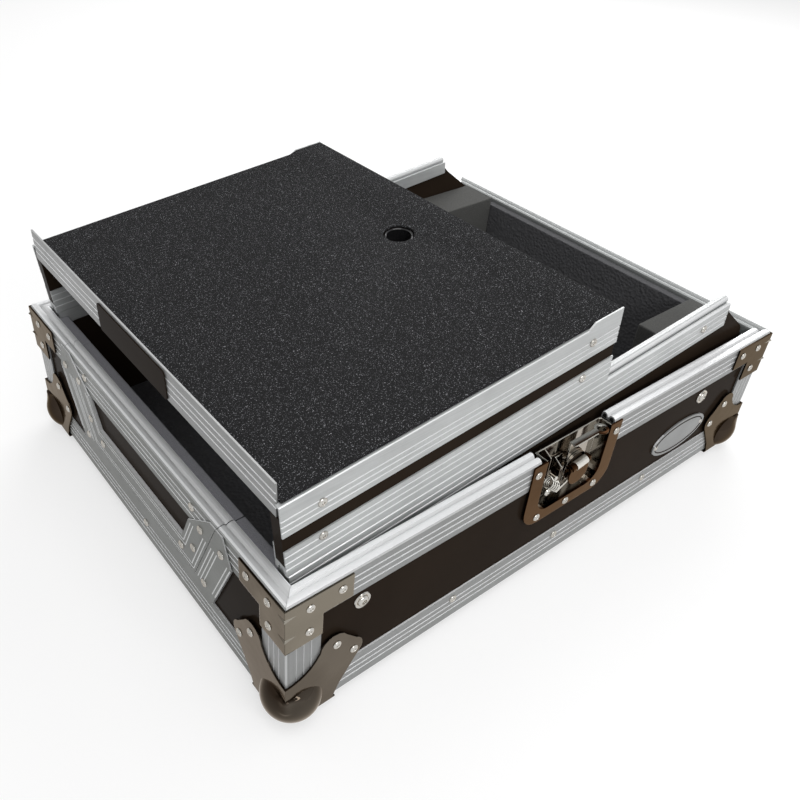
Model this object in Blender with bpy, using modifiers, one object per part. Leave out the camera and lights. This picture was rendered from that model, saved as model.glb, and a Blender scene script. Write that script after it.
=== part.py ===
"""DJ mixer flight case: open base tray with a lift-out front door and a gliding laptop shelf.

The case stands on its ball corners at z = 0. Front (the player's side) is -X, right is -Y, up is +Z.
All sizes are in metres.
"""

import math

import bmesh
import bpy
from mathutils import Matrix, Vector

# Overall tray
LENGTH = 0.500
WIDTH = 0.382
HEIGHT = 0.1185
PLY = 0.009
SKIN = 0.0012
GAP = 0.0003

# Aluminium extrusions
RIM_FACE = 0.0255
RIM_INNER = 0.012
RIM_CHANNEL = 0.0075
RIDGE_OUTER = 0.0029
RIDGE_INNER = 0.0025
VALLEY = 0.0034
BOTTOM_SIDE_LEG = 0.0285
BOTTOM_UNDER_LEG = 0.0254
CORNER_LEG = 0.0258
ARRIS = 0.0020
GROOVE_WIDTH = 0.0014
GROOVE_DEPTH = 0.0006
GROOVE_PITCH = 0.0055

# Steel corners
STEEL = 0.0012
BRACE_ARM = 0.0478
BRACE_TOP = 0.0028
BRACE_ARM_BOTTOM = 0.0228
BRACE_POST = 0.0257
BRACE_DROP = 0.0422
BALL_RADIUS = 0.0205
BALL_INSET = 0.0123
TIP_CUT = 0.018
WING_ARC = 0.027
WING_ARC_UP = 0.0665
WING_LOBE = 0.0105
WING_UPPER = (0.0355, 0.0555)
WING_LOWER = (0.0480, 0.0415)
WING_FOOT = 0.036
WING_WAIST = (0.041, 0.0115)
SOLE = 0.038
SOLE_CHAMFER = 0.014

# Feet under the base
FOOT_RADIUS = 0.008
FOOT_CLEAR = 0.0004
FOOT_IN = 0.0145
FOOT_APART = 0.126

# Front door, a trapezoid that lifts out of the front wall
DOOR_FROM_SIDE = 0.073
DOOR_SLOPE = 0.475
DOOR_DEPTH = 0.077
DOOR_CLEAR = 0.0005
TRIM_WIDTH = 0.027
TRIM_PROUD = 0.001
STRIP_TIP = 0.28
DOOR_TRIM = 0.0245

# Foam
FLOOR_FOAM = 0.010
WALL_FOAM = 0.008
FOAM_BELOW_RIM = 0.004
BLOCK_LENGTH = 0.075
BLOCK_WIDTH = 0.039
BLOCK_ABOVE_RIM = 0.004

# Laptop shelf and its rails, all on a slope that falls to the front
TILT = math.radians(5.0)
RAIL_Y = 0.0163
SEAM_HEIGHT = -0.0008
RAIL_START = 0.0135
RAIL_SHORT = 0.056
RAIL_FACE = 0.022
RAIL_SHOULDER = 0.0026
RAIL_NOTCH = 0.0018
RAIL_CHANNEL = 0.0053
RAIL_INNER = 0.012
BULB_RADIUS = 0.0029
BULB_UP = 0.0014
BULB_CLEAR = 0.0005
SLIDER_FACE = 0.022
SLIDER_INNER = 0.0215
SLIDER_CHANNEL = 0.0078
BOARD_NOSE = 0.0065
BOARD_TAIL = 0.016
BOARD_CHAMFER = (0.031, 0.024)
SHELF_START = 0.0123
SHELF_END = 0.292
SHELF_TOP = 0.0597
SHELF_ANGLE = 0.0254
PAD = 0.0018
PAD_STEP = 0.0018
PAD_STEP_LENGTH = 0.028
PAD_STEP_RAMP = 0.007
LIP_FACE = 0.0129
LIP_UP = 0.0146
LIP_DOWN = 0.0104
LIP_FLANGE = 0.013
LIP_THICK = 0.0013
LIP_INSET = 0.0041
LIP_LEAN = math.radians(3.8)
PLATE_LENGTH = 0.0982
PLATE_HEIGHT = 0.0222
PLATE_DROP = 0.0025
PLATE_THICK = 0.0007
PLATE_CORNER = 0.0025
HOLE_FROM_REAR = 0.0505
HOLE_RADIUS = 0.0121
GROMMET_BORE = 0.0098
GROMMET_FLANGE = 0.0150

# Recessed twist latch, measured from the middle of the rim's top edge
LATCH_WIDTH = 0.0946
LATCH_HEIGHT = 0.0645
LATCH_CORNER = 0.017
RIM_CUT = 0.079
DISH_TOP = 0.003
DISH_WIDTH = 0.070
DISH_HEIGHT = 0.0555
DISH_CORNER = 0.014
DISH_DEPTH = 0.0104
DISH_WALL = 0.0010
TURN_ALONG = 0.005
TURN_DROP = 0.0285
TURN_REST = math.radians(-9.0)
SPINDLE_RADIUS = 0.0035
ROTOR_RADIUS = 0.012
ROTOR_THICK = 0.0018
ROTOR_OFF = 0.0036
BARREL_RADIUS = 0.0029
BARREL_HALF = 0.009
BARREL_UP = 0.005
BARREL_OUT = 0.0019
LUG_HALF = 0.002
FLAP_RADIUS = 0.0105
FLAP_DROP = 0.0095
FLAP_NECK = 0.0086
FLAP_THICK = 0.0012
HOOK_LEFT = 0.004
HOOK_RIGHT = 0.017
HOOK_THICK = 0.0014
HOOK_LOW = 0.042
HOOK_BACK = 0.0050
HOOK_TOP = 0.0040
HOOK_LEDGE = 0.0034
EYE_ALONG = 0.0268
EYE_IN = 0.0018
EYE_RADIUS = 0.0055
EYE_HOLE = 0.0036
HOOK_TRAVEL = 0.006

# Oval badge on the right side
BADGE_FROM_REAR = 0.100
BADGE_DROP = 0.069
BADGE_HALF_LENGTH = 0.0360
BADGE_HALF_HEIGHT = 0.0158
BADGE_THICK = 0.0012

# Derived planes
FRONT, REAR = -LENGTH / 2, LENGTH / 2
RIGHT, LEFT = -WIDTH / 2, WIDTH / 2
BASE = BALL_RADIUS - BALL_INSET
RIM = BASE + HEIGHT
SET = SKIN + GAP
RIM_WIDTH = PLY + 2 * SET
FLOOR = BASE + SET + PLY + GAP
INSIDE = RIM_WIDTH + GAP
RAIL_IN = RAIL_Y + RIM_WIDTH
PLY_TOP = RIM - RIM_CHANNEL - GAP
DOOR_TOP = WIDTH - 2 * DOOR_FROM_SIDE
RAIL_END = LENGTH - RAIL_SHORT

collection = None


def clear_scene():
    for old in list(bpy.data.objects):
        bpy.data.objects.remove(old, do_unlink=True)


def material(name, colour, roughness, metallic):
    found = bpy.data.materials.get(name)
    if found:
        return found
    made = bpy.data.materials.new(name)
    made.use_nodes = True
    shader = made.node_tree.nodes["Principled BSDF"]
    shader.inputs["Base Color"].default_value = (*colour, 1.0)
    shader.inputs["Roughness"].default_value = roughness
    shader.inputs["Metallic"].default_value = metallic
    made.diffuse_color = (*colour, 1.0)
    return made


def aluminium():
    return material("satin anodised aluminium", (0.62, 0.63, 0.64), 0.35, 1.0)


def steel():
    return material("nickel plated steel", (0.66, 0.63, 0.58), 0.10, 1.0)


def plywood():
    return material("black laminated plywood", (0.022, 0.018, 0.016), 0.22, 0.0)


def rubber():
    return material("black rubber", (0.015, 0.015, 0.016), 0.70, 0.0)


def grey_foam():
    return material("grey EVA foam", (0.085, 0.086, 0.092), 0.90, 0.0)


def dark_foam():
    return material("dark foam", (0.022, 0.022, 0.024), 0.92, 0.0)


def add(name, mesh, look, parent=None):
    mesh.name = name
    mesh.materials.clear()
    mesh.materials.append(look)
    mesh.shade_smooth()
    mesh.set_sharp_from_angle(angle=math.radians(32))
    made = bpy.data.objects.new(name, mesh)
    collection.objects.link(made)
    made.parent = parent
    return made


def empty(name, location, turn=(0.0, 0.0, 0.0)):
    made = bpy.data.objects.new(name, None)
    made.empty_display_size = 0.02
    made.location = location
    made.rotation_euler = turn
    collection.objects.link(made)
    return made


# Mesh makers: each returns a closed mesh with its faces pointing out


def block(low, high):
    cube = bmesh.new()
    size = [b - a for a, b in zip(low, high)]
    middle = [(a + b) / 2 for a, b in zip(low, high)]
    placed = Matrix.Translation(middle) @ Matrix.Diagonal((*size, 1.0))
    bmesh.ops.create_cube(cube, size=1.0, matrix=placed)
    return as_mesh(cube)


def as_mesh(working):
    bmesh.ops.recalc_face_normals(working, faces=working.faces)
    mesh = bpy.data.meshes.new("shape")
    working.to_mesh(mesh)
    working.free()
    return mesh


def evaluated(maker):
    graph = bpy.context.evaluated_depsgraph_get()
    mesh = bpy.data.meshes.new_from_object(maker.evaluated_get(graph), depsgraph=graph)
    mesh.transform(maker.matrix_world)
    working = bmesh.new()
    working.from_mesh(mesh)
    bpy.data.meshes.remove(mesh)
    bmesh.ops.remove_doubles(working, verts=working.verts, dist=1e-6)
    return as_mesh(working)


PLANES = {
    "X": Matrix(((0, 0, 1, 0), (1, 0, 0, 0), (0, 1, 0, 0), (0, 0, 0, 1))),
    "Y": Matrix(((1, 0, 0, 0), (0, 0, -1, 0), (0, 1, 0, 0), (0, 0, 0, 1))),
    "Z": Matrix.Identity(4),
}


def plate(loops, across, start, end):
    """A flat outline, with any holes, extruded along the axis named by across."""
    flat = bpy.data.curves.new("outline", "CURVE")
    flat.dimensions = "2D"
    flat.fill_mode = "BOTH"
    flat.extrude = abs(end - start) / 2
    for loop in loops:
        line = flat.splines.new("POLY")
        line.points.add(len(loop) - 1)
        for point, place in zip(line.points, loop):
            point.co = (place[0], place[1], 0.0, 1.0)
        line.use_cyclic_u = True
    maker = bpy.data.objects.new("outline", flat)
    collection.objects.link(maker)
    shift = {"X": (1, 0, 0), "Y": (0, 1, 0), "Z": (0, 0, 1)}[across]
    middle = Vector(shift) * (start + end) / 2
    maker.matrix_world = Matrix.Translation(middle) @ PLANES[across]
    bpy.context.view_layer.update()
    mesh = evaluated(maker)
    bpy.data.objects.remove(maker, do_unlink=True)
    bpy.data.curves.remove(flat)
    return mesh


def turned(profile, steps):
    """A profile of (radius, height), listed from its top down, turned about Z."""
    line = bpy.data.meshes.new("profile")
    edges = [(i, i + 1) for i in range(len(profile) - 1)]
    if profile[0][0] > 0 and profile[-1][0] > 0:
        edges.append((len(profile) - 1, 0))
    line.from_pydata([(r, 0.0, z) for r, z in profile], edges, [])
    maker = bpy.data.objects.new("profile", line)
    collection.objects.link(maker)
    screw = maker.modifiers.new("turn", "SCREW")
    screw.steps = steps
    screw.render_steps = steps
    screw.use_merge_vertices = True
    screw.merge_threshold = 0.00001
    bpy.context.view_layer.update()
    mesh = evaluated(maker)
    bpy.data.objects.remove(maker, do_unlink=True)
    bpy.data.meshes.remove(line)
    return mesh


def sphere(middle, radius, segments):
    ball = bmesh.new()
    placed = Matrix.Translation(middle)
    bmesh.ops.create_uvsphere(
        ball, u_segments=segments, v_segments=segments // 2, radius=radius, matrix=placed
    )
    return as_mesh(ball)


def combine(first, second, operation):
    """The first mesh joined with, cut by or kept inside the second one."""
    held = [bpy.data.objects.new("work", mesh) for mesh in (first, second)]
    for maker in held:
        collection.objects.link(maker)
    change = held[0].modifiers.new("change", "BOOLEAN")
    change.operation = operation
    change.solver = "EXACT"
    change.object = held[1]
    bpy.context.view_layer.update()
    mesh = evaluated(held[0])
    for maker in held:
        bpy.data.objects.remove(maker, do_unlink=True)
    return mesh


def fused(*meshes):
    whole = meshes[0]
    for extra in meshes[1:]:
        whole = combine(whole, extra, "UNION")
    return whole


def moved(mesh, change):
    copy = mesh.copy()
    copy.transform(change)
    if change.determinant() < 0:
        copy.flip_normals()
    return copy


def rounded(mesh, width, segments=2, angle=60):
    """All sharp edges of a mesh rounded by a Bevel modifier."""
    maker = bpy.data.objects.new("work", mesh)
    collection.objects.link(maker)
    bevel = maker.modifiers.new("round", "BEVEL")
    bevel.width = width
    bevel.segments = segments
    bevel.limit_method = "ANGLE"
    bevel.angle_limit = math.radians(angle)
    bpy.context.view_layer.update()
    made = evaluated(maker)
    bpy.data.objects.remove(maker, do_unlink=True)
    return made


def arc(middle, radius, start, end, steps):
    turns = [math.radians(start + (end - start) * i / steps) for i in range(steps + 1)]
    return [(middle[0] + radius * math.cos(t), middle[1] + radius * math.sin(t)) for t in turns]


def grooves(places, outer, into):
    """Groove points on a face at u = outer, at each v in places; into is the way to the metal."""
    points = []
    half = GROOVE_WIDTH / 2
    for v in places:
        step = half if v > places[-1] or places[0] > places[-1] else -half
        points += [
            (outer, v + step),
            (outer + into * GROOVE_DEPTH, v + step * 0.4),
            (outer + into * GROOVE_DEPTH, v - step * 0.4),
            (outer, v - step),
        ]
    return points


def three_grooves(middle, pitch=None):
    pitch = GROOVE_PITCH if pitch is None else pitch
    return [middle + pitch, middle, middle - pitch]


# Tray panels


def latch_notch(half, depth, corner, z_top):
    """The outline of the cut in a side wall that takes a latch dish, from +X round to -X."""
    low = z_top - depth
    points = [(half, z_top)]
    points += arc((half - corner, low + corner), corner, 0, -90, 6)
    points += arc((corner - half, low + corner), corner, -90, -180, 6)
    points.append((-half, z_top))
    return points


def side_panel(name, turn):
    bottom = FLOOR
    half = DISH_WIDTH / 2 + GAP
    notch = latch_notch(half, DISH_HEIGHT + GAP, DISH_CORNER + GAP, RIM)
    outline = [(REAR - SET, bottom), (REAR - SET, PLY_TOP)]
    outline += [(half, PLY_TOP)] + notch[1:-1] + [(-half, PLY_TOP)]
    outline += [(FRONT + SET, PLY_TOP), (FRONT + SET, bottom)]
    mesh = plate([outline], "Y", RIGHT + SET, RIGHT + SET + PLY)
    add(name, moved(mesh, turn), plywood())


def door_half(z, clearance=0.0):
    """Half the door's width at height z, less or plus a clearance square to its side."""
    lean = math.hypot(1.0, DOOR_SLOPE)
    return DOOR_TOP / 2 - DOOR_SLOPE * (RIM - z) + clearance * lean


def end_panels():
    inner = RIGHT + SET + PLY + GAP
    low = RIM - DOOR_DEPTH
    outline = [
        (inner, FLOOR),
        (-inner, FLOOR),
        (-inner, PLY_TOP),
        (door_half(PLY_TOP), PLY_TOP),
        (door_half(low), low),
        (-door_half(low), low),
        (-door_half(PLY_TOP), PLY_TOP),
        (inner, PLY_TOP),
    ]
    mesh = plate([outline], "X", FRONT + SET, FRONT + SET + PLY)
    add("front_panel", mesh, plywood())
    mesh = block((REAR - SET - PLY, inner, FLOOR), (REAR - SET, -inner, PLY_TOP))
    add("rear_panel", mesh, plywood())


def base_panel():
    low = BASE + SET
    mesh = block((FRONT + SET, RIGHT + SET, low), (REAR - SET, LEFT - SET, low + PLY))
    for side in (-1, 1):
        for end in (-1, 1):
            foot = turned(
                [
                    (0.0, low + SKIN),
                    (FOOT_RADIUS, low + SKIN),
                    (FOOT_RADIUS, FOOT_CLEAR + SKIN),
                    (FOOT_RADIUS - SKIN, FOOT_CLEAR),
                    (0.0, FOOT_CLEAR),
                ],
                16,
            )
            x = end * FOOT_APART / 2
            y = side * (LEFT - BOTTOM_UNDER_LEG - FOOT_IN)
            mesh = fused(mesh, moved(foot, Matrix.Translation((x, y, 0.0))))
    for _, place in corner_turns():
        mesh = combine(mesh, moved(tip(TIP_CUT), place), "DIFFERENCE")
    add("base_panel", mesh, plywood())


# Rim: a grooved face outside, two ridges with a valley on top, and a channel for the panel


def rim_profile():
    """Points (u, v): u inwards from the outer face, v up from the rim's top."""
    outer = arc((RIDGE_OUTER, -RIDGE_OUTER), RIDGE_OUTER, 180, 45, 4)
    inner = arc((RIM_WIDTH - RIDGE_INNER, -RIDGE_INNER), RIDGE_INNER, 135, 0, 4)
    middle = (outer[-1][0] + inner[0][0]) / 2
    points = outer + [(middle, -VALLEY)] + inner
    points += [(RIM_WIDTH, -RIM_INNER), (RIM_WIDTH - SKIN, -RIM_INNER)]
    points += [(RIM_WIDTH - SKIN, -RIM_CHANNEL), (SKIN, -RIM_CHANNEL)]
    points += [(SKIN, -RIM_FACE), (0.0, -RIM_FACE)]
    cuts = three_grooves(-(RIM_FACE + RIDGE_OUTER) / 2)
    points += grooves(list(reversed(cuts)), 0.0, 1)
    return points


def run(profile, along, start, end, origin, inward, level, start_shift=None, end_shift=None):
    """A profile drawn along X or Y; each end's points may be shifted along the run by a rule."""
    loop = [(origin + inward * u, level + v) for u, v in profile]
    mesh = plate([loop], along, start, end)
    axis = 0 if along == "X" else 1
    side = 1 - axis
    halfway = (start + end) / 2
    for vertex in mesh.vertices:
        depth = (vertex.co[side] - origin) * inward
        shift = start_shift if vertex.co[axis] < halfway else end_shift
        if shift:
            vertex.co[axis] += shift(depth, vertex.co.z)
    return mesh


def mitre_start(depth, _):
    return depth + GAP / 2


def mitre_end(depth, _):
    return -depth - GAP / 2


def rims():
    profile = rim_profile()
    stop = RIM_CUT / 2
    half_turn = Matrix.Rotation(math.pi, 4, "Z")
    front_run = run(profile, "X", FRONT, -stop, RIGHT, 1, RIM, mitre_start, None)
    rear_run = run(profile, "X", stop, REAR, RIGHT, 1, RIM, None, mitre_end)
    add("rim_right_front", front_run, aluminium())
    add("rim_right_rear", rear_run, aluminium())
    add("rim_left_rear", moved(front_run, half_turn), aluminium())
    add("rim_left_front", moved(rear_run, half_turn), aluminium())
    across = run(profile, "Y", RIGHT, LEFT, REAR, -1, RIM, mitre_start, mitre_end)
    add("rim_rear", across, aluminium())

    def right_seam(_, z):
        return -door_half(z)

    def left_seam(_, z):
        return door_half(z)

    stub = run(profile, "Y", RIGHT, RIGHT / 1000, FRONT, 1, RIM, mitre_start, right_seam)
    add("rim_front_right", stub, aluminium())
    stub = run(profile, "Y", LEFT / 1000, LEFT, FRONT, 1, RIM, left_seam, mitre_end)
    add("rim_front_left", stub, aluminium())


# Angles along the bottom edges and up the corners


def angle_profile(side, under, thick, cuts):
    """Points (u, v) of an L: a grooved leg up the outer face and a plain leg going in."""
    points = arc((ARRIS, ARRIS), ARRIS, 270, 180, 3)
    points += grooves(cuts, 0.0, 1)
    points += [(0.0, side), (thick, side), (thick, thick), (under, thick), (under, 0.0)]
    return points


def bottom_angles():
    middle = BOTTOM_SIDE_LEG / 2 + GROOVE_WIDTH / 2
    cuts = list(reversed(three_grooves(middle)))
    profile = angle_profile(BOTTOM_SIDE_LEG, BOTTOM_UNDER_LEG, SKIN, cuts)
    half_turn = Matrix.Rotation(math.pi, 4, "Z")
    side = run(profile, "X", FRONT, REAR, RIGHT, 1, BASE, mitre_start, mitre_end)
    end = run(profile, "Y", RIGHT, LEFT, FRONT, 1, BASE, mitre_start, mitre_end)
    for _, place in corner_turns():
        side = combine(side, moved(tip(TIP_CUT), place), "DIFFERENCE")
        end = combine(end, moved(tip(TIP_CUT), place), "DIFFERENCE")
    add("bottom_angle_right", side, aluminium())
    add("bottom_angle_left", moved(side, half_turn), aluminium())
    add("bottom_angle_front", end, aluminium())
    add("bottom_angle_rear", moved(end, half_turn), aluminium())


def corner_turns():
    """Each tray corner's name and the move that takes a piece there from the origin."""
    places = (
        ("front_right", FRONT, RIGHT, 0),
        ("rear_right", REAR, RIGHT, 90),
        ("rear_left", REAR, LEFT, 180),
        ("front_left", FRONT, LEFT, 270),
    )
    for name, x, y, turn in places:
        yield name, Matrix.Translation((x, y, 0.0)) @ Matrix.Rotation(math.radians(turn), 4, "Z")


def tip(distance):
    """All beyond a plane square to a corner's diagonal, at a distance from the ball's middle."""
    inward = Vector((1.0, 1.0, 1.0)).normalized()
    face = Vector((BALL_INSET, BALL_INSET, BALL_RADIUS)) - inward * distance
    reach = 2 * BALL_RADIUS
    beyond = block((-reach, -reach, -reach), (reach, reach, 0.0))
    turn = inward.to_track_quat("Z", "Y").to_matrix().to_4x4()
    return moved(beyond, Matrix.Translation(face) @ turn)


def corner_angle():
    arris = arc((ARRIS, ARRIS), ARRIS, 180, 270, 4)
    cuts = three_grooves(CORNER_LEG / 2)
    across = [(v, u) for u, v in grooves(list(reversed(cuts)), 0.0, 1)]
    up = grooves(cuts, 0.0, 1)
    outline = arris + across + [(CORNER_LEG, 0.0), (CORNER_LEG, SKIN), (SKIN, SKIN)]
    outline += [(SKIN, CORNER_LEG), (0.0, CORNER_LEG)] + up
    low = BASE + BOTTOM_SIDE_LEG + GAP
    return plate([outline], "Z", low, RIM - RIM_FACE - GAP)


def brace():
    """A pressed steel L brace over a rim corner, with one arm and one post on each face."""
    outside = -GAP - STEEL
    outline = [
        (outside, RIM - BRACE_TOP),
        (BRACE_ARM, RIM - BRACE_TOP),
        (BRACE_ARM, RIM - BRACE_ARM_BOTTOM),
        (BRACE_POST, RIM - BRACE_ARM_BOTTOM),
        (BRACE_POST, RIM - BRACE_DROP),
        (outside, RIM - BRACE_DROP),
    ]
    face = plate([outline], "Y", outside, -GAP)
    other = plate([outline], "X", outside, -GAP)
    return fused(face, other)


def wing_outline():
    """One cheek of a ball corner: (along the face, height), with two lobes for its rivets."""
    outside = -GAP - STEEL
    arc_middle = (0.0, BASE + WING_ARC_UP)
    upper = (WING_UPPER[0], BASE + WING_UPPER[1])
    lower = (WING_LOWER[0], BASE + WING_LOWER[1])
    points = [(outside, BASE + outside)]
    points += [(WING_FOOT, BASE + outside), (WING_FOOT, BASE)]
    points.append((WING_WAIST[0], BASE + WING_WAIST[1]))
    points += arc(lower, WING_LOBE, -40, 62, 6)
    points += arc(upper, WING_LOBE, 25, 180, 7)
    points += arc(arc_middle, WING_ARC, -26, -90, 6)
    points.append((outside, arc_middle[1] - WING_ARC))
    return points


def ball_corner():
    outside = -GAP - STEEL
    outline = wing_outline()
    cheek = plate([outline], "Y", outside, -GAP)
    other = plate([outline], "X", outside, -GAP)
    corner = SOLE - SOLE_CHAMFER
    sole = [(outside, outside), (SOLE, outside), (SOLE, SOLE - corner)]
    sole += [(SOLE - corner, SOLE), (outside, SOLE)]
    under = plate([sole], "Z", BASE + outside, BASE - GAP)
    ball = sphere((BALL_INSET, BALL_INSET, BALL_RADIUS), BALL_RADIUS, 28)
    reach = 3 * BALL_RADIUS
    inside = block((-GAP, -GAP, BASE - GAP), (reach, reach, reach))
    inside = combine(inside, tip(TIP_CUT + GAP), "DIFFERENCE")
    cap = combine(ball, inside, "DIFFERENCE")
    plates = [
        combine(shape, tip(TIP_CUT + 2 * GAP), "DIFFERENCE") for shape in (cheek, other, under)
    ]
    return fused(cap, *plates)


def corners():
    angle, plate_brace, ball = corner_angle(), brace(), ball_corner()
    for name, place in corner_turns():
        add(f"corner_angle_{name}", moved(angle, place), aluminium())
        add(f"corner_brace_{name}", moved(plate_brace, place), steel())
        add(f"ball_corner_{name}", moved(ball, place), steel())


# Front opening trim and the lift-out door


def seam_point(side, z, off):
    """A point on the door's seam at height z, moved square to it by off, outwards positive."""
    return (side * door_half(z, off), z)


def both_sides(down, up):
    """A closed outline from one side's edges, going down the first and back up the second."""
    other = [(-y, z) for y, z in reversed(down)]
    other += [(-y, z) for y, z in reversed(up)]
    return down + other + up


def trim(near, far, tip, below, above):
    """Strips along both seams and the sill that joins them, from near to far off the seam.

    The strips narrow to tip at the rim; each edge ends at its own sill height below it.
    """
    top, knee = RIM - RIDGE_OUTER, RIM - RIM_FACE - GAP
    edge = [seam_point(1, knee, far), seam_point(1, above, far)]
    seam = [seam_point(1, below, near)]
    high = seam + [seam_point(1, top, near)]
    proud = FRONT - GAP - TRIM_PROUD
    face = plate([both_sides([seam_point(1, top, tip)] + edge, high)], "X", proud, FRONT - GAP)
    high = seam + [seam_point(1, knee, near)]
    deep = plate([both_sides(edge, high)], "X", proud + TRIM_PROUD / 2, FRONT + SET - GAP)
    return fused(face, deep)


def front_opening_frame():
    wide = TRIM_WIDTH / math.hypot(1.0, DOOR_SLOPE)
    bottom = BASE + BOTTOM_SIDE_LEG + GAP
    low = RIM - DOOR_DEPTH
    add("front_opening_frame", trim(0.0, wide, wide * STRIP_TIP, low, bottom), aluminium())


def door(parent):
    wide = TRIM_WIDTH / math.hypot(1.0, DOOR_SLOPE)
    low = RIM - DOOR_DEPTH + DOOR_CLEAR

    def half(z):
        return door_half(z, -DOOR_CLEAR)

    outline = [(-half(PLY_TOP), PLY_TOP), (half(PLY_TOP), PLY_TOP), (half(low), low), (-half(low), low)]
    panel = plate([outline], "X", FRONT + SET, FRONT + SET + PLY)
    add("door_panel", panel, plywood(), parent)

    def start(_, z):
        return -half(z) - RIGHT

    def end(_, z):
        return half(z) - LEFT

    rim = run(rim_profile(), "Y", RIGHT, LEFT, FRONT, 1, RIM, start, end)
    add("door_rim", rim, aluminium(), parent)

    frame = trim(-DOOR_CLEAR, -wide, -wide * STRIP_TIP, low, low + DOOR_TRIM)
    add("door_frame", frame, aluminium(), parent)

    top = RIM - FOAM_BELOW_RIM
    near, far = FRONT + INSIDE, FRONT + INSIDE + WALL_FOAM
    outline = [(-half(top), top), (half(top), top), (half(low), low), (-half(low), low)]
    add("door_foam", plate([outline], "X", near, far), grey_foam(), parent)


# Foam inside the tray, between the two rail boards


def tray_foam():
    edge = RAIL_IN + GAP
    low, top = FLOOR, RIM - FOAM_BELOW_RIM
    near, far = FRONT + INSIDE, FRONT + INSIDE + WALL_FOAM
    floor_top = low + FLOOR_FOAM
    side = LEFT - edge
    sill = RIM - DOOR_DEPTH - DOOR_CLEAR
    outline = [
        (-side, low),
        (side, low),
        (side, top),
        (door_half(top), top),
        (door_half(sill), sill),
        (-door_half(sill), sill),
        (-door_half(top), top),
        (-side, top),
    ]
    front = plate([outline], "X", near, far)
    floor = block((near, -side, low), (REAR - INSIDE, side, floor_top))
    rear = block((REAR - INSIDE - WALL_FOAM, -side, low), (REAR - INSIDE, side, top))
    add("tray_foam", fused(floor, front, rear), dark_foam())
    x = REAR - INSIDE - WALL_FOAM - GAP
    low = floor_top + GAP
    high = RIM + BLOCK_ABOVE_RIM
    mesh = block((x - BLOCK_LENGTH, -side, low), (x, BLOCK_WIDTH - side, high))
    add("foam_block_right", mesh, grey_foam())
    mesh = block((x - BLOCK_LENGTH, side - BLOCK_WIDTH, low), (x, side, high))
    add("foam_block_left", mesh, grey_foam())


# Rails and shelf: s runs along the slope from the front face, h is square to it from the seam


def rail_point(s, h):
    x = FRONT + s * math.cos(TILT) - h * math.sin(TILT)
    return (x, RIM + SEAM_HEIGHT + s * math.sin(TILT) + h * math.cos(TILT))


def slope_frame(name):
    return empty(name, (FRONT, 0.0, RIM + SEAM_HEIGHT), (0.0, -TILT, 0.0))


def bulb_profile():
    """The fixed rail: (u, h) with a round bulb that guides the slider above it."""
    middle = (RIM_WIDTH / 2, BULB_UP)
    points = [(0.0, -RAIL_FACE)]
    points += grooves(list(reversed(three_grooves(-RAIL_FACE / 2 - SKIN))), 0.0, 1)
    points += [(0.0, -SKIN), (SKIN, 0.0), (RAIL_SHOULDER, 0.0), (middle[0] - 0.0020, -RAIL_NOTCH)]
    points += arc(middle, BULB_RADIUS, 215, -35, 10)
    points += [(middle[0] + 0.0020, -RAIL_NOTCH), (RIM_WIDTH - RAIL_SHOULDER, 0.0)]
    points += [(RIM_WIDTH, 0.0), (RIM_WIDTH, -RAIL_INNER), (RIM_WIDTH - SKIN, -RAIL_INNER)]
    points += [(RIM_WIDTH - SKIN, -RAIL_CHANNEL), (SKIN, -RAIL_CHANNEL), (SKIN, -RAIL_FACE)]
    return points


def slider_profile():
    """The shelf's lower edge: (u, h) with a rounded slot over the bulb and a channel above."""
    middle = (RIM_WIDTH / 2, BULB_UP)
    wide = BULB_RADIUS + BULB_CLEAR
    points = [(0.0, GAP)]
    points += grooves(list(reversed(three_grooves(SLIDER_FACE / 2 + SKIN))), 0.0, 1)
    points += [(0.0, SLIDER_FACE + GAP), (SKIN, SLIDER_FACE + GAP), (SKIN, SLIDER_CHANNEL)]
    points += [(RIM_WIDTH - SKIN, SLIDER_CHANNEL), (RIM_WIDTH - SKIN, SLIDER_INNER)]
    points.append((RIM_WIDTH, SLIDER_INNER))
    points += grooves(three_grooves(SLIDER_FACE / 2 + SKIN), RIM_WIDTH, -1)
    points += [(RIM_WIDTH, GAP), (middle[0] + wide, GAP)]
    points += arc(middle, wide, 0, 180, 8)
    points.append((middle[0] - wide, GAP))
    return points


def sloped_pair(name, mesh, look, parent):
    """A piece on the right and its mirror on the left, in the slope's own frame."""
    add(f"{name}_right", mesh, look, parent)
    add(f"{name}_left", moved(mesh, Matrix.Scale(-1.0, 4, (0, 1, 0))), look, parent)


def rails():
    frame = slope_frame("rail_slope")
    rail = run(bulb_profile(), "X", RAIL_START, RAIL_END, RIGHT + RAIL_Y, 1, 0.0)
    sloped_pair("fixed_rail", rail, aluminium(), frame)
    under = -RAIL_CHANNEL - GAP
    foot = FLOOR
    front = FRONT + INSIDE
    rear = REAR - INSIDE - GAP
    tip = rail_point(RAIL_END, under)
    shoulder = (tip[0] + BOARD_NOSE, tip[1] - BOARD_NOSE)
    outline = [
        (front, foot),
        (rear, foot),
        (rear, RIM - BOARD_TAIL),
        (shoulder[0] + BOARD_CHAMFER[0], shoulder[1] - BOARD_CHAMFER[1]),
        shoulder,
        tip,
        rail_point((front - FRONT) / math.cos(TILT), under),
    ]
    inner = RIGHT + RAIL_Y + SET
    board = plate([outline], "Y", inner, inner + PLY)
    packer_top = RIM - RAIL_FACE - 2 * SKIN
    packer = block((front, RIGHT + INSIDE, foot), (rear, inner + SET, packer_top))
    whole = fused(board, packer)
    add("rail_board_right", whole, plywood())
    add("rail_board_left", moved(whole, Matrix.Scale(-1.0, 4, (0, 1, 0))), plywood())


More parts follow.
